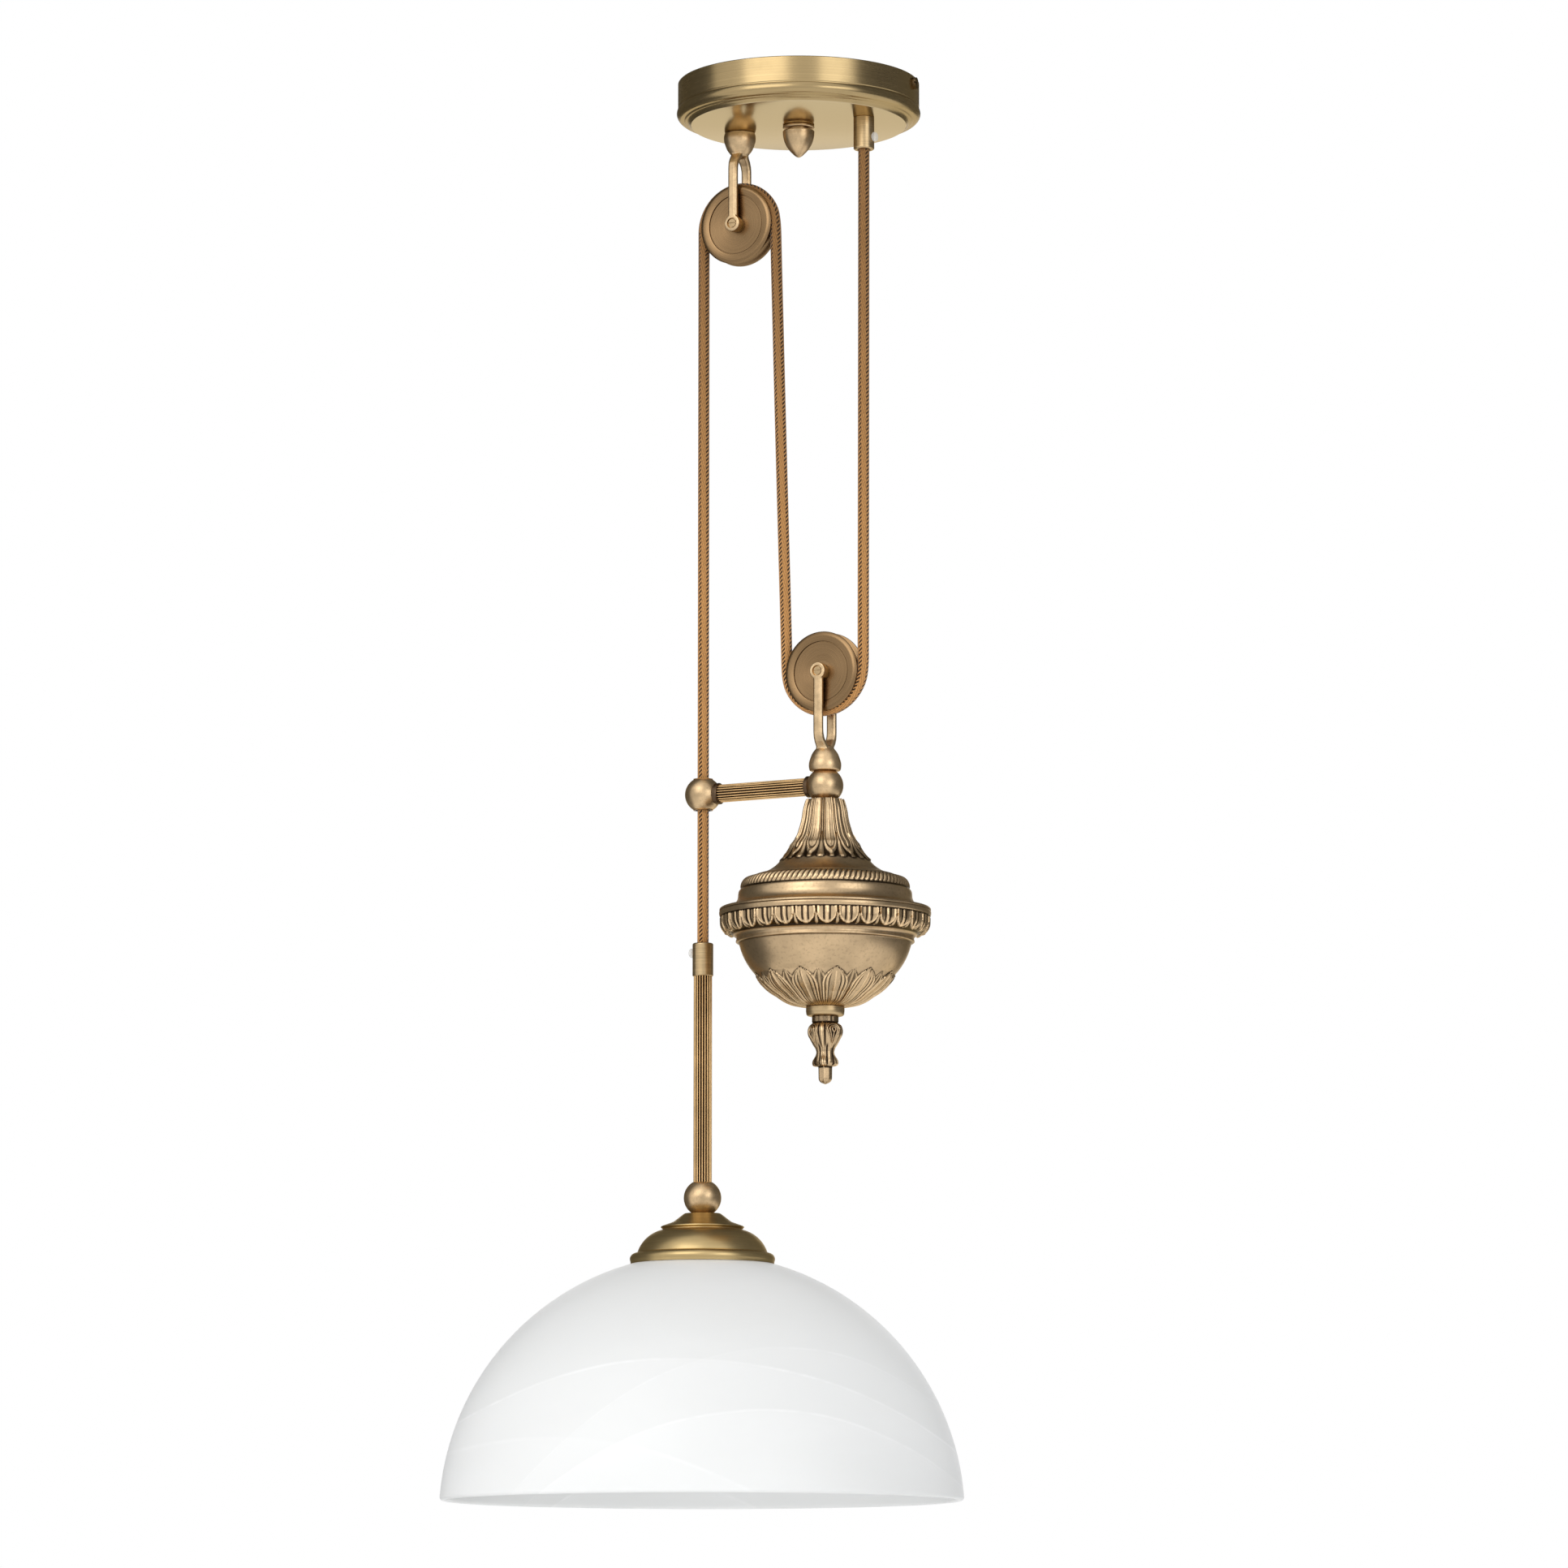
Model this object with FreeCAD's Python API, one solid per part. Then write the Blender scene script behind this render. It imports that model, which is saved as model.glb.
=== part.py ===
import FreeCAD, Part
import math
import os

# Rise and fall pendant: a ceiling canopy, a fixed pulley, a travelling pulley that carries
# a counterweight, and a glass shade on the free end of one textile cord.
# Millimetres. The origin is the centre of the canopy's rim, in the plane of the ceiling.
# +Z is up, the two pulleys lie in the XZ plane, and their axles are parallel to Y.

# ---- Cord ----
cord_diameter = 6.3
cord_lean = 1.0

# ---- Canopy ----
canopy_radius = 70.3
canopy_height = 24.7
canopy_wall = 1.2
canopy_bulge = 0.3
canopy_wall_drop = 15.0
canopy_shoulder_drop = 22.0
canopy_shoulder_inset = 3.9
canopy_step = 1.6
canopy_disc_radius = 62.6
fixed_pulley_inset = 31.0
canopy_grip_inset = 27.1
side_screw_angle = 11.0
side_screw_drop = 4.6
side_screw_radius = 1.9
side_screw_head_radius = 3.4
side_screw_head_height = 1.8
side_screw_slot = 0.7
strap_width = 18.0
strap_thickness = 1.5
strap_ear_drop = 12.0
strap_to_wall = 0.3
ceiling_hole_circle = 76.0
ceiling_hole_radius = 2.6

# ---- Central rod and acorn finial ----
rod_radius = 4.9
rod_top_drop = 0.6
rod_nut_flat = 17.0
hex_nut_flat = 13.0
hex_nut_height = 4.0
acorn_radius = 9.2
acorn_washer_height = 1.6
acorn_neck_radius = 5.7
acorn_neck_height = 1.4
acorn_height = 16.0
acorn_thread_depth = 9.0

# ---- Wiring in the canopy ----
terminal_length = 22.0
terminal_width = 16.0
terminal_height = 12.0
terminal_offset = 11.0
terminal_ways = 3
terminal_way_radius = 2.0
core_radius = 1.0
core_spacing = 2.3
core_bend = 5.0

# ---- Cord grips ----
grip_radius = 6.0
grip_height = 19.2
grip_lip = 0.8
nipple_radius = 4.9
nipple_bore = 3.7
nipple_length = 8.0
nipple_thread_depth = 5.0
grip_screw_radius = 1.5
grip_screw_head_radius = 2.7
grip_screw_head_height = 2.4
canopy_grip_screw_drop = 12.2
lamp_grip_screw_drop = 5.5

# ---- Pulleys ----
pulley_radius = 23.3
pulley_width = 11.0
pulley_disc_radius = 17.5
pulley_disc_recess = 0.9
pulley_dish = 0.6
pulley_crown_radius = 21.2
cord_pitch_radius = 22.0
groove_side_room = 0.35
groove_flare = 0.4
bush_radius = 3.4
axle_radius = 2.0
upper_loop_radius = 24.0
lower_loop_radius = 25.0

# ---- Yokes ----
upper_yoke_height = 55.3
lower_yoke_height = 57.2
yoke_bell_radius = 9.2
yoke_bell_height = 8.2
yoke_waist_height = 13.2
yoke_waist_radius = 5.0
yoke_fork_height = 17.6
yoke_arm_offset = 8.0
yoke_arm_width = 5.9
yoke_arm_thickness = 3.6
yoke_arm_chamfer = 1.1
yoke_eye_radius = 4.9
yoke_stud_radius = 4.0
yoke_stud_depth = 7.0
axle_head_radius = 2.4
axle_head_recess = 3.1
axle_head_depth = 1.7
axle_head_height = 1.2
axle_head_slot = 0.6
axle_nut_flat = 7.2
axle_nut_height = 2.2
spacer_radius = 4.4

# ---- Balls, guide arm and sockets ----
ball_radius = 10.55
ball_flat = 8.5
guide_ball_flat = 9.2
guide_bush_radius = 5.4
guide_bore_radius = 4.3
arm_radius = 5.2
arm_bore = 3.4
arm_ribs = 20
arm_rib_depth = 0.55
socket_radius = 6.2
socket_length = 3.1
arm_rod_radius = 3.0
arm_rod_depth = 1.6

# ---- Counterweight ----
neck_top_radius = 10.7
neck_flutes = 36
neck_flute_depth = 0.55
skirt_radius = 26.2
skirt_drop = 35.5
skirt_step = 1.0
rope_top_radius = 41.8
rope_top_drop = 44.7
rope_radius = 48.6
rope_drop = 51.4
rope_strands = 96
rope_strand_depth = 0.9
rope_twist = 10.0
rim_shoulder_step = 10.7
shoulder_drop = 55.3
rim_step = 7.2
rim_top_drop = 62.6
rim_seam_drop = 64.2
rim_height = 4.9
tongue_count = 30
tongue_depth = 1.2
tongue_band_step = 2.1
tongue_band_drop = 77.6
lip_step = 2.0
lip_drop = 82.0
bowl_taper = 9.7
bowl_leaf_drop = 101.8
bowl_foot_drop = 118.9
leaf_count = 12
leaf_depth = 1.3
leaf_step = 0.7
urn_wall = 2.2
bowl_wall = 3.0
collar_radius = 11.0
collar_height = 5.6
tie_rod_radius = 4.0
ballast_top_drop = 76.0
ballast_top_radius = 46.0
ballast_seat_step = 16.0
ballast_nut_flat = 13.0
ballast_nut_height = 6.5
finial_neck_radius = 7.5
finial_bulb_radius = 9.8
finial_waist_radius = 5.2
finial_flare_radius = 7.3
finial_stub_radius = 3.9
finial_tip_height = 3.0
finial_lobes = 8
finial_height = 39.0

# ---- Lamp: stem, ball and gallery ----
guide_to_lamp_grip = 77.3
stem_radius = 5.3
stem_bore = 4.2
stem_length = 119.2
stem_ribs = 20
stem_rib_depth = 0.5
lamp_ball_radius = 10.8
lamp_ball_flat = 9.0
pipe_radius = 4.0
pipe_bore = 2.7
gallery_neck_radius = 11.0
gallery_cone_radius = 16.8
gallery_cone_height = 4.8
gallery_bead_radius = 23.9
gallery_bead_drop = 7.7
gallery_dome_radius = 37.4
gallery_foot_radius = 41.2
gallery_ring_height = 6.5
gallery_height = 28.9
gallery_wall = 1.2
gallery_nut_flat = 17.0
gallery_nut_height = 4.0

# ---- Glass shade ----
shade_radius = 150.2
shade_wall = 4.0
shade_height = 140.9
shade_hole_radius = 30.0
shade_seat_gap = 0.25
clamp_plate_radius = 36.0
clamp_plate_thickness = 1.5

# ---- Lampholder ----
holder_cap_radius = 16.0
holder_cap_height = 12.0
holder_radius = 19.5
holder_height = 38.0
holder_bore_radius = 14.5
thread_sleeve_radius = 14.2
thread_sleeve_bore = 13.5
thread_sleeve_drop = 3.0
thread_sleeve_height = 25.0
holder_floor = 7.0
contact_radius = 4.0
contact_height = 2.5

# ---- Fits ----
running_gap = 0.05
side_gap = 0.3
hole_room = 0.2
cord_room = 0.25

# ---- Heights worked out from the sizes above ----
cord_radius = cord_diameter / 2
bowl_radius = ballast_top_radius + side_gap + bowl_wall
bowl_leaf_radius = bowl_radius - bowl_taper
ballast_seat_radius = ballast_top_radius - ballast_seat_step
lip_radius = bowl_radius + lip_step
tongue_band_radius = lip_radius + tongue_band_step
rim_radius = tongue_band_radius + rim_step
shoulder_radius = rim_radius - rim_shoulder_step
fixed_pulley_x = fixed_pulley_inset - canopy_radius
canopy_grip_x = canopy_radius - canopy_grip_inset
counterweight_x = canopy_grip_x - cord_lean - lower_loop_radius
disc_z = -canopy_height
disc_top_z = disc_z + canopy_wall
upper_axle_z = disc_z - upper_yoke_height
lamp_x = fixed_pulley_x - upper_loop_radius
guide_ball_z = -414.1
ball_top_z = guide_ball_z + ball_flat
neck_top_z = guide_ball_z - ball_flat
lower_axle_z = ball_top_z + lower_yoke_height
rim_seam_z = neck_top_z - rim_seam_drop
bowl_foot_z = neck_top_z - bowl_foot_drop
collar_foot_z = bowl_foot_z - collar_height
lamp_grip_z = guide_ball_z - guide_ball_flat - guide_to_lamp_grip
stem_top_z = lamp_grip_z - grip_height
stem_foot_z = stem_top_z - stem_length
lamp_ball_z = stem_foot_z - lamp_ball_flat
gallery_top_z = lamp_ball_z - lamp_ball_flat
gallery_foot_z = gallery_top_z - gallery_height
shade_centre_z = gallery_foot_z - shade_seat_gap - math.sqrt(shade_radius ** 2 - gallery_foot_radius ** 2)
shade_rim_z = shade_centre_z + shade_radius - shade_height
shade_inner_radius = shade_radius - shade_wall
clamp_z = shade_centre_z + math.sqrt(shade_inner_radius ** 2 - clamp_plate_radius ** 2) - shade_seat_gap
holder_cap_z = clamp_z - clamp_plate_thickness
holder_top_z = holder_cap_z - holder_cap_height
holder_foot_z = holder_top_z - holder_height
upper_loop_z = upper_axle_z - (upper_loop_radius - cord_pitch_radius)
lower_loop_z = lower_axle_z + (lower_loop_radius - cord_pitch_radius)


def point(x, y, z):
    return FreeCAD.Vector(x, y, z)


UP = point(0, 0, 1)
ALONG_X = point(1, 0, 0)
ALONG_Y = point(0, 1, 0)


def outline_face(steps):
    """Closed face in the XZ plane. A step of 2 numbers is a line, of 4 an arc by way of a mid point."""
    start = point(steps[0][0], 0, steps[0][1])
    here = start
    edges = []
    for step in steps[1:]:
        there = point(step[-2], 0, step[-1])
        if len(step) == 4:
            edges.append(Part.Arc(here, point(step[0], 0, step[1]), there).toShape())
        else:
            edges.append(Part.LineSegment(here, there).toShape())
        here = there
    edges.append(Part.LineSegment(here, start).toShape())
    return Part.Face(Part.Wire(edges))


def turned(steps, x=0.0):
    """Solid of revolution about the vertical line through x, from steps of (radius, height)."""
    solid = outline_face(steps).revolve(point(0, 0, 0), UP, 360)
    solid.translate(point(x, 0, 0))
    return solid


def rod(radius, x, bottom, top):
    return Part.makeCylinder(radius, top - bottom, point(x, 0, bottom), UP)


def tube(outer, inner, x, bottom, top):
    return rod(outer, x, bottom, top).cut(rod(inner, x, bottom - 1, top + 1))


def cross_rod(radius, x, z, front, back):
    """Cylinder along Y from front to back."""
    return Part.makeCylinder(radius, back - front, point(x, front, z), ALONG_Y)


def side_rod(radius, left, right, z):
    """Cylinder along X from left to right."""
    return Part.makeCylinder(radius, right - left, point(left, 0, z), ALONG_X)


def hexagon_nut(flat, height, bore, x, bottom):
    corner = flat / math.sqrt(3)
    corners = [point(corner * math.cos(math.radians(60 * i)), corner * math.sin(math.radians(60 * i)), 0)
               for i in range(7)]
    nut = Part.Face(Part.makePolygon(corners)).extrude(point(0, 0, height))
    nut.translate(point(x, 0, bottom))
    return nut.cut(rod(bore, x, bottom - 1, bottom + height + 1))


def lobed_ring(radius, depth, lobes, z, phase=0.0):
    """Closed polygon with `lobes` flat-topped ribs, each between two valleys `depth` deep."""
    corners = []
    pitch = 360.0 / lobes
    for i in range(lobes):
        for share, inset in ((0.0, depth), (0.3, 0.0), (0.7, 0.0)):
            angle = math.radians(phase + pitch * (i + share))
            corners.append(point((radius - inset) * math.cos(angle), (radius - inset) * math.sin(angle), z))
    corners.append(corners[0])
    return Part.makePolygon(corners)


def lobed_body(rows, lobes, x, twist=0.0):
    """Straight-sided loft through lobed rings given as (radius, depth, height), top row first."""
    rings = []
    for i, (radius, depth, z) in enumerate(rows):
        rings.append(lobed_ring(radius, depth, lobes, z, phase=twist * i))
    body = Part.makeLoft(rings, True, True)
    body.translate(point(x, 0, 0))
    return body


def joined(first, *others):
    solid = first
    for other in others:
        solid = solid.fuse(other)
    return solid.removeSplitter()


def save(name, shape):
    shape.exportStep("parts/" + name + ".step")


# ---- Canopy ----
def canopy_outline(inset):
    """Outer side of the spun canopy, from the rim to the centre of its disc, moved inwards by inset."""
    radius = canopy_radius - inset
    disc = disc_z + inset
    shoulder = canopy_radius - canopy_shoulder_inset - inset
    middle = -canopy_shoulder_drop + (canopy_shoulder_drop - canopy_wall_drop) * 0.4 + inset * 0.4
    return [
        (radius, -canopy_wall_drop),
        (radius + canopy_bulge, middle, shoulder, -canopy_shoulder_drop + inset),
        (canopy_disc_radius + canopy_step - inset, -canopy_shoulder_drop - 0.6 + inset),
        (canopy_disc_radius + 0.4 - inset, (disc - canopy_shoulder_drop + inset) / 2 - 0.4,
         canopy_disc_radius - inset, disc),
        (0.0, disc),
    ]


def make_canopy():
    outer = turned([(0.0, 0.0), (canopy_radius, 0.0)] + canopy_outline(0.0))
    inner = turned([(0.0, 1.0), (canopy_radius - canopy_wall, 1.0)] + canopy_outline(canopy_wall))
    shell = outer.cut(inner)
    for hole_x, radius in ((0.0, rod_radius), (fixed_pulley_x, yoke_stud_radius), (canopy_grip_x, nipple_radius)):
        shell = shell.cut(rod(radius + hole_room, hole_x, disc_z - 1, disc_top_z + 1))
    cross_hole = side_rod(side_screw_radius + hole_room, -canopy_radius - 2, canopy_radius + 2, -side_screw_drop)
    cross_hole.rotate(point(0, 0, 0), UP, side_screw_angle)
    save("canopy_shell", shell.cut(cross_hole))


def make_ceiling_strap():
    reach = canopy_radius - canopy_wall - strap_to_wall
    strap = Part.makeBox(2 * reach, strap_width, strap_thickness, point(-reach, -strap_width / 2, -strap_thickness))
    for side in (-1, 1):
        inner_x = reach - strap_thickness if side > 0 else -reach
        ear = Part.makeBox(strap_thickness, strap_width, strap_ear_drop,
                           point(inner_x, -strap_width / 2, -strap_ear_drop))
        strap = strap.fuse(ear)
    within = rod(reach, 0.0, -strap_ear_drop - 1, 1)
    strap = strap.common(within)
    strap = strap.cut(rod(rod_radius + hole_room, 0.0, -strap_thickness - 1, 1))
    strap = strap.cut(side_rod(side_screw_radius - hole_room, -canopy_radius, canopy_radius, -side_screw_drop))
    for side in (-1, 1):
        hole_x = side * ceiling_hole_circle / 2
        strap = strap.cut(rod(ceiling_hole_radius, hole_x, -strap_thickness - 1, 1))
    strap = strap.removeSplitter()
    strap.rotate(point(0, 0, 0), UP, side_screw_angle)
    save("ceiling_strap", strap)


def make_side_screws():
    screws = []
    for turn in (0, 180):
        tip = canopy_radius - canopy_wall - strap_to_wall - strap_thickness - 1.5
        shank = side_rod(side_screw_radius - hole_room, tip, canopy_radius, -side_screw_drop)
        head = side_rod(side_screw_head_radius, canopy_radius, canopy_radius + side_screw_head_height,
                        -side_screw_drop)
        slot = Part.makeBox(side_screw_head_height, 2 * side_screw_head_radius + 1, side_screw_slot,
                            point(canopy_radius + side_screw_head_height / 2, -side_screw_head_radius - 0.5,
                                  -side_screw_drop - side_screw_slot / 2))
        screw = joined(shank, head).cut(slot)
        screw.rotate(point(0, 0, 0), UP, side_screw_angle + turn)
        screws.append(screw)
    save("side_screws", Part.makeCompound(screws))


def make_central_rod():
    washer_foot = disc_z - acorn_washer_height
    acorn_top = washer_foot - acorn_neck_height
    acorn_tip = acorn_top - acorn_height
    rod_foot = acorn_top - acorn_thread_depth
    save("central_rod", rod(rod_radius, 0.0, rod_foot, -rod_top_drop))
    save("central_rod_nut", hexagon_nut(rod_nut_flat, hex_nut_height, rod_radius, 0.0,
                                        -strap_thickness - hex_nut_height))
    save("acorn_washer", turned([
        (rod_radius + hole_room, disc_z), (acorn_radius - 0.6, disc_z), (acorn_radius, disc_z - 0.6),
        (acorn_radius, washer_foot + 0.4), (acorn_radius - 0.4, washer_foot), (rod_radius + hole_room, washer_foot)]))
    save("acorn_finial", turned([
        (rod_radius, washer_foot), (acorn_neck_radius, washer_foot), (acorn_neck_radius, acorn_top),
        (acorn_radius - 0.5, acorn_top), (acorn_radius, acorn_top - 0.6),
        (acorn_radius * 0.78, acorn_top - acorn_height * 0.54, acorn_radius * 0.34, acorn_top - acorn_height * 0.87),
        (0.0, acorn_tip),
        (0.0, rod_foot), (rod_radius, rod_foot)]))


def make_terminal_block():
    block = Part.makeBox(terminal_length, terminal_width, terminal_height,
                         point(terminal_offset, -terminal_width / 2, -strap_thickness - terminal_height))
    way_z = core_run_z()
    for i in range(terminal_ways):
        y = (i - (terminal_ways - 1) / 2) * core_spacing
        way = Part.makeCylinder(core_radius + hole_room, terminal_length / 2,
                                point(terminal_offset + terminal_length / 2, y, way_z), ALONG_X)
        block = block.cut(way)
    for i in range(terminal_ways):
        y = (i - (terminal_ways - 1) / 2) * terminal_width / terminal_ways
        block = block.cut(Part.makeCylinder(terminal_way_radius, 3.0,
                                            point(terminal_offset + terminal_length * 0.3, y,
                                                  -strap_thickness - terminal_height), UP))
    save("terminal_block", block)


def core_run_z():
    """Height at which the cores enter the terminal block."""
    return -strap_thickness - terminal_height * 0.6


def make_canopy_cores():
    cores = []
    for i in range(terminal_ways):
        y = (i - (terminal_ways - 1) / 2) * core_spacing
        run_z = core_run_z()
        low = point(canopy_grip_x, y, disc_z - nipple_thread_depth)
        bend_start = point(canopy_grip_x, y, run_z - core_bend)
        bend_end = point(canopy_grip_x - core_bend, y, run_z)
        slant = core_bend * (1 - math.sqrt(0.5))
        bend_mid = point(canopy_grip_x - slant, y, run_z - slant)
        end = point(terminal_offset + terminal_length * 0.6, y, run_z)
        path = Part.Wire([Part.LineSegment(low, bend_start).toShape(),
                          Part.Arc(bend_start, bend_mid, bend_end).toShape(),
                          Part.LineSegment(bend_end, end).toShape()])
        circle = Part.Wire([Part.makeCircle(core_radius, low, UP)])
        cores.append(path.makePipeShell([circle], True, False))
    save("canopy_cores", Part.makeCompound(cores))


# ---- Cord grips ----
def make_cord_grip(prefix, x, top, screw_drop, side, fitting_radius):
    """Turned grip with a bore for the cord, and the clear screw that pinches the cord from one side."""
    bottom = top - grip_height
    bore = cord_radius + cord_room
    body = turned([
        (fitting_radius, top), (grip_radius, top), (grip_radius, bottom + grip_lip),
        (grip_radius - 0.3, bottom + grip_lip * 0.3, grip_radius - grip_lip, bottom),
        (bore, bottom), (bore, top - nipple_thread_depth), (fitting_radius, top - nipple_thread_depth)], x)
    if prefix == "lamp":
        body = body.mirror(point(x, 0, (top + bottom) / 2), UP)
    screw_z = top - screw_drop
    near, far = x + side * cord_radius, x + side * (grip_radius + grip_screw_head_height)
    hole = side_rod(grip_screw_radius + running_gap, min(x, far), max(x, far), screw_z)
    save(prefix + "_cord_grip", body.cut(hole))
    head_start = x + side * (grip_radius + running_gap)
    shank = side_rod(grip_screw_radius, min(near, head_start), max(near, head_start), screw_z)
    head = side_rod(grip_screw_head_radius, min(head_start, far), max(head_start, far), screw_z)
    far_edges = [edge for edge in head.Edges if abs(edge.CenterOfMass.x - far) < 0.01]
    head = head.makeFillet(0.9, far_edges)
    save(prefix + "_grip_screw", joined(shank, head))


def make_canopy_grip_fixing():
    foot = disc_z - nipple_thread_depth
    top = foot + nipple_thread_depth + nipple_length
    save("canopy_grip_nipple", tube(nipple_radius, nipple_bore, canopy_grip_x, foot, top))
    save("canopy_grip_nut", hexagon_nut(hex_nut_flat, hex_nut_height, nipple_radius, canopy_grip_x, disc_top_z))


# ---- Yokes with their axles ----
def arm_section(y, z, width, thickness):
    """Bar section with chamfered corners, level at height z and centred on y."""
    half_w, half_t, cut = width / 2, thickness / 2, yoke_arm_chamfer
    corners = [(half_w, -half_t + cut), (half_w, half_t - cut), (half_w - cut, half_t), (-half_w + cut, half_t),
               (-half_w, half_t - cut), (-half_w, -half_t + cut), (-half_w + cut, -half_t), (half_w - cut, -half_t)]
    points = [point(a, y + b, z) for a, b in corners]
    return Part.makePolygon(points + points[:1])


def yoke_solid(height):
    """Yoke standing on z = 0 with its eyes at z = height, for a pulley between its two arms."""
    bell = turned([
        (0.0, 0.0), (yoke_bell_radius - 0.5, 0.0), (yoke_bell_radius - 0.2, 1.0),
        (yoke_bell_radius, yoke_bell_height * 0.5, yoke_bell_radius * 0.83, yoke_bell_height),
        (yoke_waist_radius, yoke_waist_height), (0.0, yoke_waist_height)])
    solid = bell
    for side in (-1, 1):
        arm_y = side * yoke_arm_offset
        rows = [
            (side * yoke_arm_thickness * 0.45, yoke_bell_height, yoke_arm_width + 1.6),
            (side * yoke_arm_thickness * 0.72, yoke_waist_height, yoke_arm_width + 0.4),
            (arm_y, yoke_fork_height, yoke_arm_width),
            (arm_y, height, yoke_arm_width),
        ]
        sections = [arm_section(y, z, width, yoke_arm_thickness) for y, z, width in rows]
        arm = Part.makeLoft(sections, True, True)
        eye = cross_rod(yoke_eye_radius, 0.0, height, arm_y - yoke_arm_thickness / 2, arm_y + yoke_arm_thickness / 2)
        solid = solid.fuse(arm).fuse(eye)
    outer_face = yoke_arm_offset + yoke_arm_thickness / 2
    solid = solid.cut(rod(yoke_stud_radius, 0.0, -1, yoke_stud_depth))
    solid = solid.cut(cross_rod(axle_radius, 0.0, height, -outer_face - 1, outer_face + 1))
    recess = cross_rod(axle_head_recess, 0.0, height, -outer_face - 1, -outer_face + axle_head_depth)
    return solid.cut(recess).removeSplitter()


def make_yoke(prefix, x, base_z, height, upright):
    yoke = yoke_solid(height)
    if not upright:
        yoke.rotate(point(0, 0, 0), ALONG_Y, 180)
    yoke.translate(point(x, 0, base_z))
    save(prefix + "_yoke", yoke)
    axle_z = base_z + height if upright else base_z - height
    outer_face = yoke_arm_offset + yoke_arm_thickness / 2
    inner_face = yoke_arm_offset - yoke_arm_thickness / 2
    head_foot = -outer_face + axle_head_depth
    shank = cross_rod(axle_radius, x, axle_z, head_foot, outer_face + axle_nut_height)
    head = cross_rod(axle_head_radius, x, axle_z, head_foot - axle_head_height, head_foot)
    slot = Part.makeBox(2 * axle_head_radius + 1, axle_head_height / 2, axle_head_slot,
                        point(x - axle_head_radius - 0.5, head_foot - axle_head_height,
                              axle_z - axle_head_slot / 2))
    save(prefix + "_axle_screw", joined(shank, head).cut(slot))
    nut = hexagon_nut(axle_nut_flat, axle_nut_height, axle_radius, 0.0, 0.0)
    nut.rotate(point(0, 0, 0), ALONG_X, -90)
    nut.translate(point(x, outer_face, axle_z))
    save(prefix + "_axle_nut", nut)
    hub_face = pulley_width / 2 - pulley_disc_recess - pulley_dish
    spacers = []
    for side in (-1, 1):
        near, far = side * (hub_face + side_gap), side * inner_face
        ring = cross_rod(spacer_radius, x, axle_z, min(near, far), max(near, far))
        spacers.append(ring.cut(cross_rod(axle_radius, x, axle_z, min(near, far) - 1, max(near, far) + 1)))
    save(prefix + "_spacers", Part.makeCompound(spacers))


def make_upper_yoke_fixing():
    top = disc_top_z + hex_nut_height + 2
    save("upper_yoke_stud", rod(yoke_stud_radius, fixed_pulley_x, disc_z - yoke_stud_depth, top))
    save("upper_yoke_nut", hexagon_nut(hex_nut_flat, hex_nut_height, yoke_stud_radius, fixed_pulley_x, disc_top_z))


# ---- Pulleys ----
def make_pulley(prefix, x, z):
    """Grooved pulley about the Y axis, turned on a bush."""
    half = pulley_width / 2
    disc_face = half - pulley_disc_recess
    hub_face = disc_face - pulley_dish
    groove_foot = cord_pitch_radius - cord_radius - side_gap
    groove_half = cord_radius + groove_side_room
    groove_edge = groove_half + groove_flare
    groove_centre = groove_foot + groove_half
    crown = [(half, pulley_crown_radius), (disc_face + 0.35, pulley_disc_radius + 0.2),
             (disc_face, pulley_disc_radius), (hub_face, bush_radius)]
    left = [(-y, radius) for y, radius in [(groove_edge, pulley_radius - 0.3), (groove_edge + 0.3, pulley_radius),
                                           (half - 0.5, pulley_radius - 0.5)] + crown]
    right = [(-y, radius) for y, radius in reversed(left)] + [(groove_half, groove_centre)]
    start = point(groove_centre, -groove_half, 0)
    here = start
    edges = []
    for y, radius in left + right:
        there = point(radius, y, 0)
        edges.append(Part.LineSegment(here, there).toShape())
        here = there
    groove = Part.Arc(here, point(groove_foot, 0, 0), start).toShape()
    solid = Part.Face(Part.Wire(edges + [groove])).revolve(point(0, 0, 0), ALONG_Y, 360)
    solid.translate(point(x, 0, z))
    save(prefix + "_pulley", solid)
    bush = cross_rod(bush_radius, x, z, -hub_face, hub_face)
    save(prefix + "_pulley_bush", bush.cut(cross_rod(axle_radius + running_gap, x, z, -half, half)))


# ---- Guide arm ----
def flattened_ball(radius, x, z, flat):
    ball = Part.makeSphere(radius, point(x, 0, z))
    return ball.common(Part.makeBox(4 * radius, 4 * radius, 2 * flat, point(x - 2 * radius, -2 * radius, z - flat)))


def reeded_bar(radius, bore, ribs, depth, length):
    """Tube along +Z from z = 0 with ribs along its length."""
    outer = Part.Face(lobed_ring(radius, depth, ribs, 0.0)).extrude(point(0, 0, length))
    return outer.cut(rod(bore, 0.0, -1, length + 1))


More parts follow.
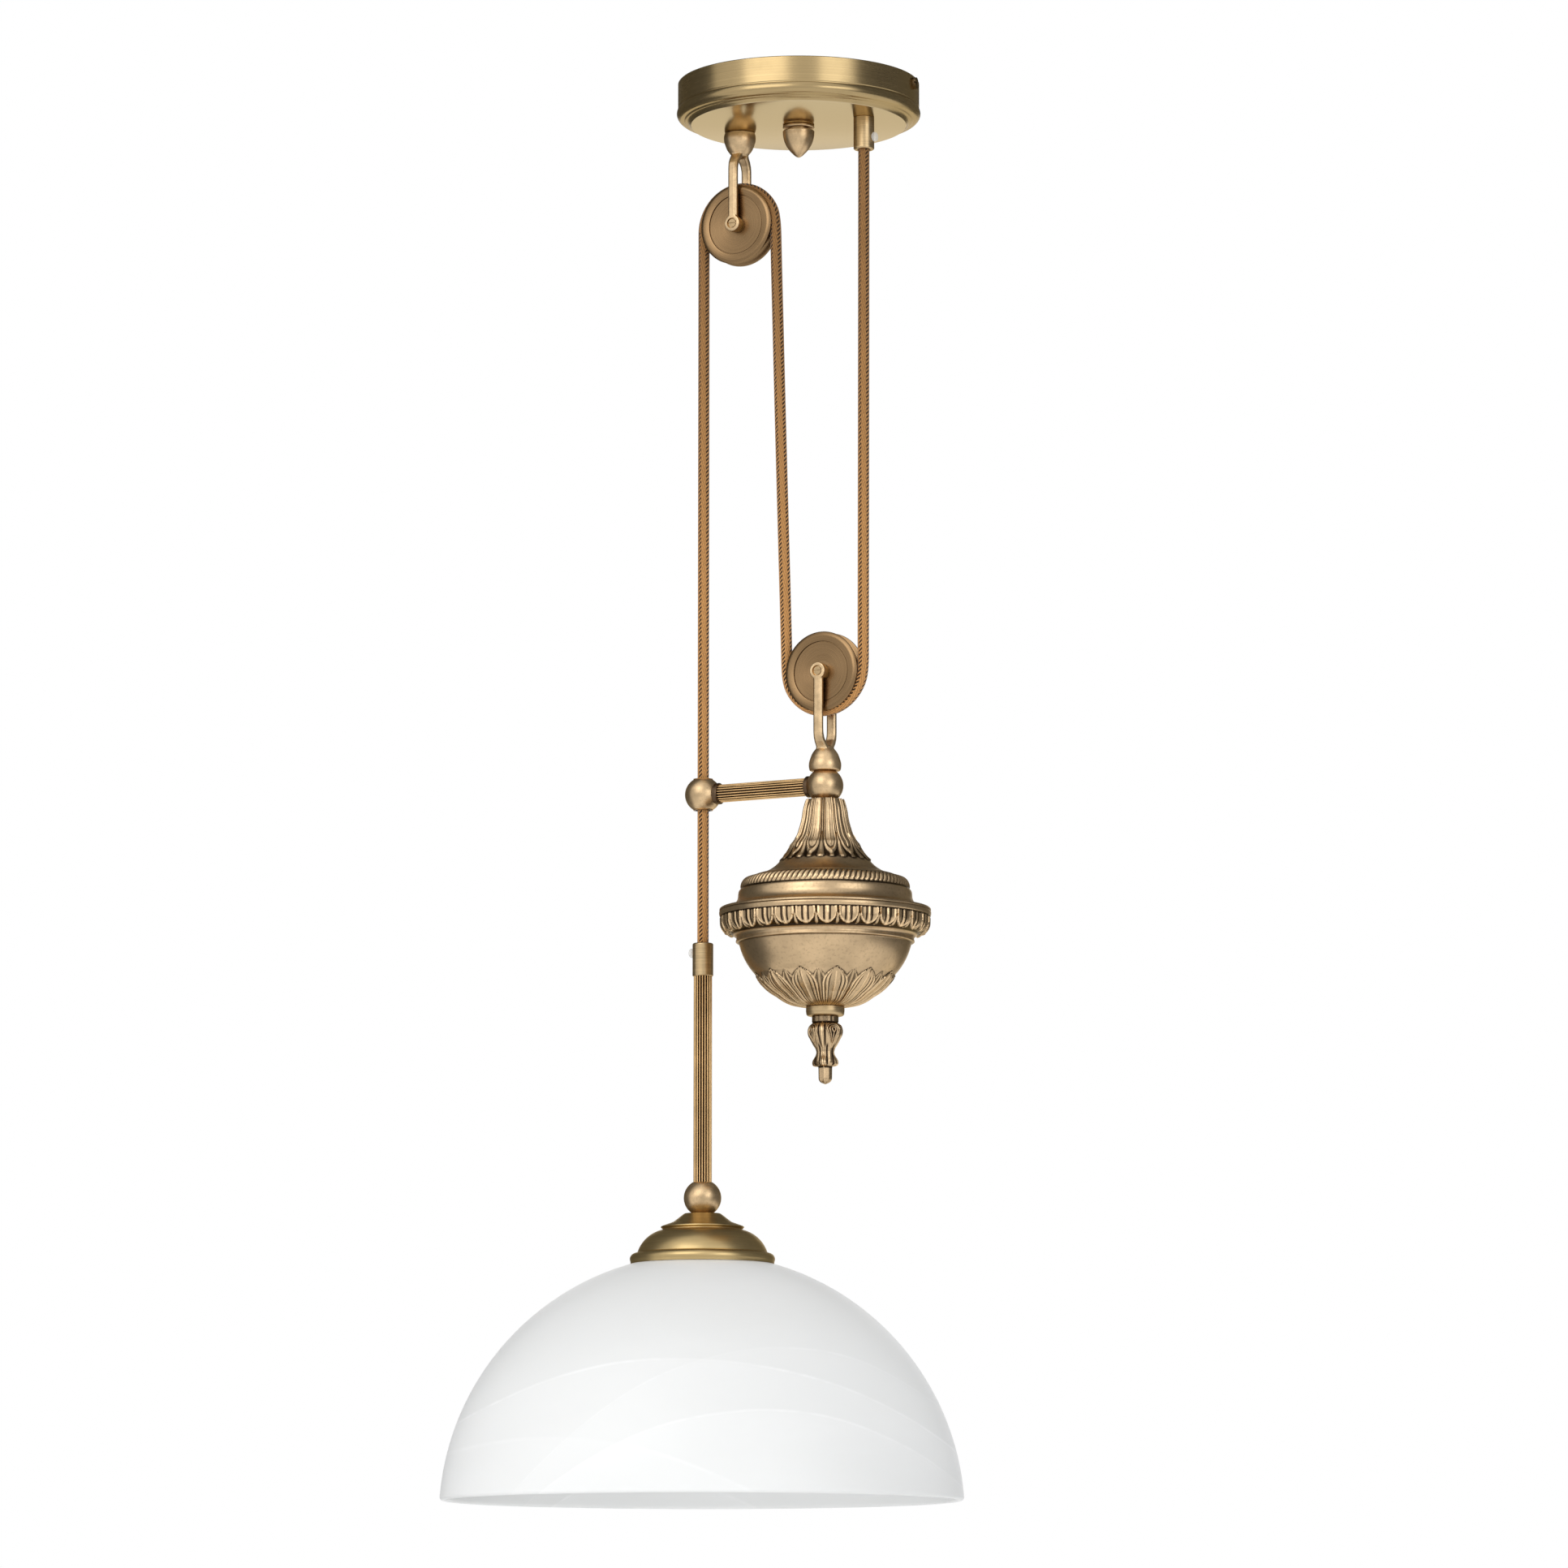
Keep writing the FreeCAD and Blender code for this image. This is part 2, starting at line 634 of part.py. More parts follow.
def make_guide_arm():
    socket_face = math.sqrt(ball_radius ** 2 - socket_radius ** 2)
    left_end = lamp_x + socket_face + socket_length
    right_end = counterweight_x - socket_face - socket_length
    arm = reeded_bar(arm_radius, arm_bore, arm_ribs, arm_rib_depth, right_end - left_end)
    arm.rotate(point(0, 0, 0), ALONG_Y, 90)
    arm.translate(point(left_end, 0, guide_ball_z))
    save("guide_arm", arm)
    sockets = []
    for start in (left_end - socket_length, right_end):
        ring = side_rod(socket_radius, start, start + socket_length, guide_ball_z)
        sockets.append(ring.cut(side_rod(arm_rod_radius + hole_room, start - 1, start + socket_length + 1,
                                         guide_ball_z)))
    save("arm_sockets", Part.makeCompound(sockets))
    rod_left = lamp_x + guide_bush_radius + arm_rod_depth
    rod_right = counterweight_x - tie_rod_radius - arm_rod_depth
    save("arm_rod", side_rod(arm_rod_radius, rod_left, rod_right, guide_ball_z))
    beyond = Part.makeBox(2 * ball_radius, 4 * ball_radius, 4 * ball_radius,
                          point(lamp_x + socket_face, -2 * ball_radius, guide_ball_z - 2 * ball_radius))
    guide = flattened_ball(ball_radius, lamp_x, guide_ball_z, guide_ball_flat).cut(beyond)
    guide = guide.cut(rod(guide_bush_radius, lamp_x, guide_ball_z - ball_radius, guide_ball_z + ball_radius))
    save("guide_ball", guide.cut(side_rod(arm_rod_radius, rod_left, rod_right, guide_ball_z)))
    save("guide_bush", tube(guide_bush_radius, guide_bore_radius, lamp_x, guide_ball_z - guide_ball_flat,
                            guide_ball_z + guide_ball_flat))
    before = Part.makeBox(2 * ball_radius, 4 * ball_radius, 4 * ball_radius,
                          point(counterweight_x - socket_face - 2 * ball_radius, -2 * ball_radius,
                                guide_ball_z - 2 * ball_radius))
    top_ball = flattened_ball(ball_radius, counterweight_x, guide_ball_z, ball_flat).cut(before)
    top_ball = top_ball.cut(rod(tie_rod_radius, counterweight_x, neck_top_z - 1, ball_top_z + 1))
    save("top_ball", top_ball.cut(side_rod(arm_rod_radius, rod_left, rod_right, guide_ball_z)))


# ---- Counterweight ----
def make_top_cover():
    """Cast cover: fluted neck, leaf skirt, rope ring and shoulder, down to the seam in the rim."""
    top = neck_top_z
    neck = lobed_body([
        (neck_top_radius, neck_flute_depth, top),
        (12.3, neck_flute_depth, top - 7.2),
        (14.6, neck_flute_depth, top - 16.8),
        (19.9, neck_flute_depth * 1.3, top - 26.0),
        (skirt_radius, neck_flute_depth * 1.6, top - skirt_drop)], neck_flutes, counterweight_x)
    shoulder_top = turned([
        (0.0, top - skirt_drop), (skirt_radius - skirt_step, top - skirt_drop),
        (skirt_radius + 4.2, top - skirt_drop - 4.6, rope_top_radius - 3.5, top - rope_top_drop + 1.3),
        (rope_top_radius - 0.8, top - rope_top_drop), (0.0, top - rope_top_drop)], counterweight_x)
    rope = lobed_body([
        (rope_top_radius, rope_strand_depth, top - rope_top_drop),
        (rope_top_radius + (rope_radius - rope_top_radius) * 0.62, rope_strand_depth, top - rope_top_drop - 2.1),
        (rope_radius, rope_strand_depth, top - rope_drop)], rope_strands, counterweight_x, rope_twist / 4)
    shoulder = turned([
        (0.0, top - rope_drop), (rope_radius - 0.4, top - rope_drop), (rope_radius + 0.8, top - rope_drop - 0.8),
        (shoulder_radius, top - shoulder_drop),
        (shoulder_radius + 1.6, top - shoulder_drop - 4.2, shoulder_radius + 6.4, top - rim_top_drop + 1.1),
        (rim_radius - 0.6, top - rim_top_drop), (rim_radius, top - rim_top_drop - 0.6),
        (rim_radius, rim_seam_z), (0.0, rim_seam_z)], counterweight_x)
    hollow = turned([
        (tie_rod_radius, top - rope_top_drop - 1), (rope_top_radius - 4.0, top - rope_top_drop - 3),
        (shoulder_radius - urn_wall - 1.5, top - shoulder_drop), (rim_radius - 6.0, rim_seam_z - 1),
        (tie_rod_radius, rim_seam_z - 1)], counterweight_x)
    cover = joined(neck, shoulder_top, rope, shoulder).cut(hollow)
    save("top_cover", cover.cut(rod(tie_rod_radius + hole_room, counterweight_x, rim_seam_z, top + 1)))


def make_lower_bowl():
    """Cast bowl: rim, band of tongues, plain bowl and the leaf rosette round its foot."""
    top = neck_top_z
    rim_foot = rim_seam_z + (rim_seam_drop - rim_top_drop) - rim_height
    rim = turned([(0.0, rim_seam_z), (rim_radius, rim_seam_z), (rim_radius, rim_foot + 0.6),
                  (rim_radius - 0.6, rim_foot), (0.0, rim_foot)], counterweight_x)
    band_foot = top - tongue_band_drop
    leaf_height = bowl_foot_drop - bowl_leaf_drop
    band_height = rim_foot - band_foot
    tongues = lobed_body([
        (rim_radius - 0.5, tongue_depth, rim_foot),
        (rim_radius - 1.2, tongue_depth, rim_foot - band_height * 0.35),
        (rim_radius - 3.4, tongue_depth, rim_foot - band_height * 0.75),
        (tongue_band_radius, tongue_depth * 0.6, band_foot)], tongue_count, counterweight_x)
    bowl = turned([
        (0.0, band_foot), (lip_radius, band_foot),
        (lip_radius - 0.5, (band_foot + top - lip_drop) / 2, lip_radius, top - lip_drop),
        (bowl_radius, top - lip_drop - 0.3),
        (bowl_radius - 3.9, top - lip_drop - 10.3, bowl_leaf_radius, top - bowl_leaf_drop),
        (0.0, top - bowl_leaf_drop)], counterweight_x)
    leaves = lobed_body([
        (bowl_leaf_radius + leaf_step, leaf_depth, top - bowl_leaf_drop),
        (bowl_leaf_radius * 0.84, leaf_depth, top - bowl_leaf_drop - leaf_height * 0.35),
        (bowl_leaf_radius * 0.57, leaf_depth, top - bowl_leaf_drop - leaf_height * 0.74),
        (collar_radius + 1.0, leaf_depth * 0.4, bowl_foot_z)], leaf_count * 2, counterweight_x)
    hollow = turned([
        (0.0, rim_seam_z + 1), (ballast_top_radius + side_gap, rim_seam_z + 1),
        (ballast_top_radius + side_gap, top - lip_drop),
        (ballast_seat_radius + 6.5, top - bowl_leaf_drop + 3.6, ballast_seat_radius, top - bowl_leaf_drop),
        (0.0, top - bowl_leaf_drop)], counterweight_x)
    solid = joined(rim, tongues, bowl, leaves).cut(hollow)
    save("lower_bowl", solid.cut(rod(tie_rod_radius + hole_room, counterweight_x, bowl_foot_z - 1, rim_seam_z)))


def make_ballast():
    top = neck_top_z - ballast_top_drop
    lip_z = neck_top_z - lip_drop
    seat = neck_top_z - bowl_leaf_drop
    save("ballast", turned([
        (tie_rod_radius + hole_room, top), (ballast_top_radius - 1.5, top), (ballast_top_radius, top - 1.5),
        (ballast_top_radius, lip_z),
        (ballast_seat_radius + 6.0, seat + 3.8, ballast_seat_radius - 0.3, seat),
        (tie_rod_radius + hole_room, seat)], counterweight_x))
    save("ballast_nut", hexagon_nut(ballast_nut_flat, ballast_nut_height, tie_rod_radius, counterweight_x, top))
    rod_foot = collar_foot_z - 9.0
    save("tie_rod", rod(tie_rod_radius, counterweight_x, rod_foot, ball_top_z + yoke_stud_depth))


def make_urn_finial():
    """Collar under the bowl and the four-sided finial that closes it."""
    save("urn_collar", turned([
        (tie_rod_radius + hole_room, bowl_foot_z), (collar_radius - 0.8, bowl_foot_z),
        (collar_radius, bowl_foot_z - 1.2, collar_radius, bowl_foot_z - collar_height * 0.5),
        (collar_radius - 0.5, collar_foot_z + 0.9, collar_radius - 2.0, collar_foot_z),
        (tie_rod_radius + hole_room, collar_foot_z)], counterweight_x))
    top = collar_foot_z
    stub_foot = finial_height - finial_tip_height
    rows = [
        (finial_neck_radius, 0.3, 0.0), (finial_neck_radius - 0.2, 0.3, 3.8), (finial_bulb_radius - 0.6, 0.7, 5.8),
        (finial_bulb_radius, 0.9, 8.4), (finial_bulb_radius * 0.93, 0.9, 11.6), (finial_bulb_radius * 0.68, 0.7, 16.4),
        (finial_waist_radius, 0.5, 20.4), (finial_flare_radius * 0.8, 0.8, 24.2), (finial_flare_radius, 1.1, 27.2),
        (finial_stub_radius, 0.3, 29.4), (finial_stub_radius, 0.3, stub_foot)]
    body = lobed_body([(radius, depth, top - drop) for radius, depth, drop in rows], finial_lobes, counterweight_x)
    tip = turned([(0.0, top - stub_foot), (finial_stub_radius - 0.6, top - stub_foot), (0.0, top - finial_height)],
                 counterweight_x)
    finial = joined(body, tip)
    save("urn_finial", finial.cut(rod(tie_rod_radius, counterweight_x, top - 9.0, top + 1)))


# ---- Lamp ----
def make_stem():
    stem = reeded_bar(stem_radius, stem_bore, stem_ribs, stem_rib_depth, stem_length)
    stem.translate(point(lamp_x, 0, stem_foot_z))
    save("reeded_stem", stem)
    ball = flattened_ball(lamp_ball_radius, lamp_x, lamp_ball_z, lamp_ball_flat)
    save("lamp_ball", ball.cut(rod(pipe_radius + hole_room, lamp_x, gallery_top_z - 1, stem_foot_z + 1)))
    pipe_top = stem_top_z + nipple_thread_depth
    pipe_foot = holder_cap_z - 6.0
    save("lamp_pipe", tube(pipe_radius, pipe_bore, lamp_x, pipe_foot, pipe_top))
    cores = []
    for i in range(terminal_ways):
        angle = math.radians(120 * i)
        centre = point(lamp_x + 1.5 * math.cos(angle), 1.5 * math.sin(angle), holder_top_z + 0.5)
        cores.append(Part.makeCylinder(core_radius, pipe_top + 1.0 - centre.z, centre, UP))
    save("lamp_cores", Part.makeCompound(cores))


def gallery_outline(inset):
    """Side of the gallery from its neck to its foot, moved inwards by inset."""
    top = gallery_top_z
    foot = gallery_foot_z
    cone_z = top - gallery_cone_height
    bead_z = top - gallery_bead_drop
    ring_z = foot + gallery_ring_height
    return [
        (gallery_neck_radius - inset, top - inset),
        (gallery_cone_radius - inset, cone_z - inset),
        (gallery_bead_radius - 1.4 - inset, bead_z + 0.5 - inset),
        (gallery_bead_radius - 1.9 * inset, bead_z - 0.4 - inset,
         gallery_bead_radius - 1.4 - inset, bead_z - 1.5 - inset),
        (gallery_dome_radius - 4.6 - inset, ring_z + 7.4 - inset * 0.6, gallery_dome_radius - inset, ring_z),
        (gallery_foot_radius - 1.4 - inset, ring_z - 1.2 - inset),
        (gallery_foot_radius - inset, ring_z - 2.6 - inset),
        (gallery_foot_radius - inset, foot),
    ]


def make_gallery():
    top = gallery_top_z
    outer = gallery_outline(0.0)
    solid = turned([(0.0, top)] + outer + [(0.0, gallery_foot_z)], lamp_x)
    inner = gallery_outline(gallery_wall)
    hollow = turned([(0.0, top - gallery_wall)] + inner + [(gallery_foot_radius - gallery_wall, gallery_foot_z - 1),
                                                         (0.0, gallery_foot_z - 1)], lamp_x)
    gallery = solid.cut(hollow)
    save("gallery", gallery.cut(rod(pipe_radius + hole_room, lamp_x, gallery_foot_z, top + 1)))
    save("gallery_nut", hexagon_nut(gallery_nut_flat, gallery_nut_height, pipe_radius, lamp_x,
                                    top - gallery_wall - gallery_nut_height))


def make_glass_shade():
    outer = Part.makeSphere(shade_radius, point(lamp_x, 0, shade_centre_z))
    inner = Part.makeSphere(shade_inner_radius, point(lamp_x, 0, shade_centre_z))
    shell = outer.cut(inner)
    size = 2.2 * shade_radius
    keep = Part.makeBox(size, size, size, point(lamp_x - size / 2, -size / 2, shade_rim_z))
    shell = shell.common(keep)
    shell = shell.cut(rod(shade_hole_radius, lamp_x, shade_centre_z, shade_centre_z + size))
    rim_edges = [edge for edge in shell.Edges
                 if abs(edge.BoundBox.ZMax - shade_rim_z) < 0.01 and edge.BoundBox.ZLength < 0.01]
    save("glass_shade", shell.makeFillet(shade_wall * 0.4, rim_edges))


def make_lampholder():
    save("clamp_plate", tube(clamp_plate_radius, pipe_radius + hole_room, lamp_x, holder_cap_z, clamp_z))
    save("holder_cap", turned([
        (pipe_radius, holder_cap_z), (holder_cap_radius * 0.6, holder_cap_z),
        (holder_cap_radius * 0.93, holder_cap_z - 2.6, holder_cap_radius, holder_cap_z - 8.0),
        (holder_radius, holder_top_z), (holder_bore_radius, holder_top_z),
        (holder_cap_radius - 3.0, holder_cap_z - 6.0), (pipe_radius, holder_cap_z - 6.0)], lamp_x))
    floor_z = holder_top_z - holder_floor
    save("holder_body", turned([
        (pipe_bore, holder_top_z), (holder_radius, holder_top_z), (holder_radius, holder_foot_z + 1.0),
        (holder_radius - 1.0, holder_foot_z), (holder_bore_radius, holder_foot_z),
        (holder_bore_radius, floor_z), (pipe_bore, floor_z)], lamp_x))
    sleeve_top = floor_z - thread_sleeve_drop
    save("thread_sleeve", tube(thread_sleeve_radius, thread_sleeve_bore, lamp_x, sleeve_top - thread_sleeve_height,
                               sleeve_top))
    save("centre_contact", rod(contact_radius, lamp_x, floor_z - contact_height, floor_z))


# ---- Cord ----
def common_tangent(centre_a, reach_a, centre_b, reach_b):
    """Upright line beside two circles. A positive reach puts the line to the circle's left, by that much.

    Returns the point of each circle on the line, as (x, z)."""
    dx, dz = centre_a[0] - centre_b[0], centre_a[1] - centre_b[1]
    bearing = math.atan2(dz, dx)
    swing = math.acos((reach_a - reach_b) / math.hypot(dx, dz))
    normal = max((bearing + swing, bearing - swing), key=math.cos)
    nx, nz = math.cos(normal), math.sin(normal)
    return ((centre_a[0] - nx * reach_a, centre_a[1] - nz * reach_a),
            (centre_b[0] - nx * reach_b, centre_b[1] - nz * reach_b))


def cord_run(start, end):
    low = point(start[0], 0, start[1])
    path = point(end[0], 0, end[1]) - low
    return Part.makeCylinder(cord_radius, path.Length, low, path)


def cord_loop(centre, radius, first, last, over):
    """Cord bent round a pulley from the point first to the point last, over or under its centre."""
    start = math.degrees(math.atan2(first[1] - centre[1], first[0] - centre[0]))
    end = math.degrees(math.atan2(last[1] - centre[1], last[0] - centre[0]))
    sweep = (end - start) % 360 if over else -((start - end) % 360)
    section = Part.Face(Part.Wire([Part.makeCircle(cord_radius, point(first[0], 0, first[1]),
                                                   point(-math.sin(math.radians(start)), 0,
                                                         math.cos(math.radians(start))))]))
    loop = section.revolve(point(centre[0], 0, centre[1]), point(0, -1, 0), sweep)
    expected = math.pi * cord_radius ** 2 * radius * math.radians(abs(sweep))
    print("cord loop radius %.2f, turn %.1f, volume over section times length %.4f"
          % (radius, abs(sweep), abs(loop.Volume) / expected))
    return loop


def make_cord():
    upper_centre = (fixed_pulley_x, upper_loop_z)
    lower_centre = (counterweight_x, lower_loop_z)
    canopy_end = (canopy_grip_x, disc_z - nipple_thread_depth - 1.0)
    lamp_end = (lamp_x, stem_top_z + nipple_thread_depth + 1.0)
    lower_right, _ = common_tangent(lower_centre, -lower_loop_radius, canopy_end, 0.0)
    lower_left, upper_right = common_tangent(lower_centre, lower_loop_radius, upper_centre, -upper_loop_radius)
    _, upper_left = common_tangent(lamp_end, 0.0, upper_centre, upper_loop_radius)
    save("cord_canopy_fall", cord_run(lower_right, canopy_end))
    save("cord_lower_loop", cord_loop(lower_centre, lower_loop_radius, lower_right, lower_left, False))
    save("cord_middle_fall", cord_run(lower_left, upper_right))
    save("cord_upper_loop", cord_loop(upper_centre, upper_loop_radius, upper_right, upper_left, True))
    save("cord_lamp_fall", cord_run(lamp_end, upper_left))
    for label, place in (("lower right", lower_right), ("lower left", lower_left),
                         ("upper right", upper_right), ("upper left", upper_left)):
        print("cord leaves the pulley at %s: x %.2f, z %.2f" % (label, place[0], place[1]))


make_canopy()
make_ceiling_strap()
make_side_screws()
make_central_rod()
make_terminal_block()
make_canopy_cores()
make_cord_grip("canopy", canopy_grip_x, disc_z, canopy_grip_screw_drop, 1, nipple_radius)
make_cord_grip("lamp", lamp_x, lamp_grip_z, lamp_grip_screw_drop, -1, pipe_radius)
make_canopy_grip_fixing()
make_yoke("upper", fixed_pulley_x, disc_z, upper_yoke_height, False)
make_yoke("lower", counterweight_x, ball_top_z, lower_yoke_height, True)
make_upper_yoke_fixing()
make_pulley("upper", fixed_pulley_x, upper_axle_z)
make_pulley("lower", counterweight_x, lower_axle_z)
make_guide_arm()
make_top_cover()
make_lower_bowl()
make_ballast()
make_urn_finial()
make_stem()
make_gallery()
make_glass_shade()
make_lampholder()
make_cord()
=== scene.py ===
"""Looks of a rise and fall pendant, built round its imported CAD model, in metres."""

import math

import bpy
import numpy as np
from mathutils import Matrix, Vector


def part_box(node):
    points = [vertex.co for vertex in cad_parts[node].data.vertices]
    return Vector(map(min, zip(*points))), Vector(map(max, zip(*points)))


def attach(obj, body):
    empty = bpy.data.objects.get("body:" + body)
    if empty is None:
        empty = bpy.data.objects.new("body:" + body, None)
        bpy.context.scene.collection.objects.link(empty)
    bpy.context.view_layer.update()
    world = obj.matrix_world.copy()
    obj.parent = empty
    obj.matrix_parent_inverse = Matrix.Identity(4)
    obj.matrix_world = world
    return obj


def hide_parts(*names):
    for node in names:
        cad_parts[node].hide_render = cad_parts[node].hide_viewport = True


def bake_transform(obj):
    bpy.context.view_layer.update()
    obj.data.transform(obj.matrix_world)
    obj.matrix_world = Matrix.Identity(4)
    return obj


bl_info = {
    "name": "Rise and fall pendant",
    "version": (1, 0, 0),
    "blender": (4, 5, 0),
    "location": "3D View > Sidebar > Pendant",
    "description": "Models and finishes a rise and fall pendant with a glass dome and an urn counterweight",
    "category": "Object",
}

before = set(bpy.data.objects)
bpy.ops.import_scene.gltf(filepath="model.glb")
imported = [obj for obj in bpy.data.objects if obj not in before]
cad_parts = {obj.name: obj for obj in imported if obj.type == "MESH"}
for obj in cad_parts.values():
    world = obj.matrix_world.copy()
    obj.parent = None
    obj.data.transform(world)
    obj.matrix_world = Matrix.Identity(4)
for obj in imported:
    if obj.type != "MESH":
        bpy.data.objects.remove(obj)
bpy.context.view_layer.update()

MM = 0.001
QUARTER = math.radians(90)

# Width of the braid's loose threads over the cord's stated diameter.
BRAID_SWELL = 1.05
# Tint of brass where it is seen at a glancing angle.
BRASS_EDGE = (0.88, 0.76, 0.56, 1.0)
# Bearing of the camera's view, from +Y towards -X.
VIEW_BEARING = math.radians(29)


def span(node):
    """Lowest corner, highest corner and centre of a CAD node."""
    low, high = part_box(node)
    return low, high, (low + high) / 2


# ---- Places taken from the frame ----
FIXED_PULLEY = span("upper_pulley")[2]
MOVING_PULLEY = span("lower_pulley")[2]
URN_X = MOVING_PULLEY.x
LAMP_X = span("reeded_stem")[2].x
GRIP_X = span("canopy_cord_grip")[2].x
DISC_Z = span("canopy_shell")[0].z
BALL_Z = span("top_ball")[2].z
NECK_TOP = span("top_cover")[1].z
SEAM_Z = span("top_cover")[0].z
BOWL_FOOT = span("lower_bowl")[0].z
COLLAR_FOOT = span("urn_collar")[0].z
GALLERY_TOP = span("gallery")[1].z
GALLERY_FOOT = span("gallery")[0].z
SHADE_RIM = span("glass_shade")[0].z


# ---- Sizes and colours that a user would change ----
class PendantSizes(bpy.types.PropertyGroup):
    cord_diameter: bpy.props.FloatProperty(
        name="Cord diameter", description="Diameter over the braid", default=6.3 * MM, unit="LENGTH")
    glass_radius: bpy.props.FloatProperty(
        name="Glass radius", description="Outer radius of the glass dome's sphere", default=150.2 * MM,
        unit="LENGTH")
    glass_wall: bpy.props.FloatProperty(
        name="Glass wall", description="Thickness of the glass", default=4.0 * MM, unit="LENGTH")
    pulley_radius: bpy.props.FloatProperty(
        name="Pulley radius", description="Outer radius of both pulleys", default=23.3 * MM, unit="LENGTH")
    ball_radius: bpy.props.FloatProperty(
        name="Ball radius", description="Radius of the balls on the guide arm", default=10.55 * MM,
        unit="LENGTH")
    petals: bpy.props.IntProperty(
        name="Neck petals", description="Petals round the neck of the counterweight", default=12, min=3)
    tongues: bpy.props.IntProperty(
        name="Tongues", description="Tongues in the band under the rim", default=30, min=3)
    leaves: bpy.props.IntProperty(
        name="Leaves", description="Large leaves round the foot of the bowl", default=12, min=3)
    rope_strokes: bpy.props.IntProperty(
        name="Rope strokes", description="Slanted strokes of the rope ring", default=96, min=3)


class PendantColours(bpy.types.PropertyGroup):
    canopy: bpy.props.FloatVectorProperty(
        name="Canopy brass", description="Yellow brass of the canopy's wall", subtype="COLOR",
        size=3, default=(0.395, 0.290, 0.145))
    # The canopy's underside is the same brass as its wall: its polish is real, its paler colour is painted
    # reflection of the bright surroundings.
    disc: bpy.props.FloatVectorProperty(
        name="Canopy disc", description="Pale polished brass of the canopy's flat underside", subtype="COLOR",
        size=3, default=(0.580, 0.480, 0.315))
    brass: bpy.props.FloatVectorProperty(
        name="Brushed brass", description="Satin brass of the cord grips and the collar", subtype="COLOR",
        size=3, default=(0.500, 0.365, 0.200))
    bright: bpy.props.FloatVectorProperty(
        name="Tumbled brass", description="Bright brass of the yokes, the balls and the acorn",
        subtype="COLOR", size=3, default=(0.590, 0.425, 0.245))
    pulley: bpy.props.FloatVectorProperty(
        name="Pulley brass", description="Rosy brass of the pulleys", subtype="COLOR",
        size=3, default=(0.240, 0.150, 0.074))
    reeded: bpy.props.FloatVectorProperty(
        name="Reeded brass", description="Golden brass of the guide arm and the stem", subtype="COLOR",
        size=3, default=(0.760, 0.500, 0.240))
    gallery: bpy.props.FloatVectorProperty(
        name="Gallery brass", description="Golden brass of the spun gallery", subtype="COLOR",
        size=3, default=(0.520, 0.385, 0.185))
    cast: bpy.props.FloatVectorProperty(
        name="Cast brass", description="Aged brass of the counterweight", subtype="COLOR",
        size=3, default=(0.575, 0.415, 0.245))
    # This colour also paints the shade in the gaps of the reeded guide arm and stem.
    recess: bpy.props.FloatVectorProperty(
        name="Recess", description="Dark patina left in the carving", subtype="COLOR",
        size=3, default=(0.036, 0.022, 0.013))
    cord: bpy.props.FloatVectorProperty(
        name="Cord", description="Golden brown braid", subtype="COLOR",
        size=3, default=(0.52, 0.26, 0.088))
    glass: bpy.props.FloatVectorProperty(
        name="Glass", description="White of the clouded glass", subtype="COLOR",
        size=3, default=(0.830, 0.840, 0.838))


# ---- Shader maths ----
class Socket:
    """A number output of a shader node, with arithmetic that adds Math nodes."""

    def __init__(self, tree, out):
        self.tree = tree
        self.out = out

    def _math(self, operation, *values):
        return self.tree.add("ShaderNodeMath", {"operation": operation}, *values)

    def __add__(self, other):
        return self._math("ADD", self, other)

    def __radd__(self, other):
        return self._math("ADD", other, self)

    def __sub__(self, other):
        return self._math("SUBTRACT", self, other)

    def __rsub__(self, other):
        return self._math("SUBTRACT", other, self)

    def __mul__(self, other):
        return self._math("MULTIPLY", self, other)

    def __rmul__(self, other):
        return self._math("MULTIPLY", other, self)

    def __truediv__(self, other):
        return self._math("DIVIDE", self, other)

    def __pow__(self, other):
        return self._math("POWER", self, other)

    def __abs__(self):
        return self._math("ABSOLUTE", self)

    def sine(self):
        return self._math("SINE", self)

    def clamped(self):
        return self.tree.add("ShaderNodeClamp", {}, self)

    def ramp(self, low, high):
        """0 below low, 1 above high, smooth between."""
        settings = {"interpolation_type": "SMOOTHSTEP"}
        return self.tree.add("ShaderNodeMapRange", settings, self, low, high, 0.0, 1.0)


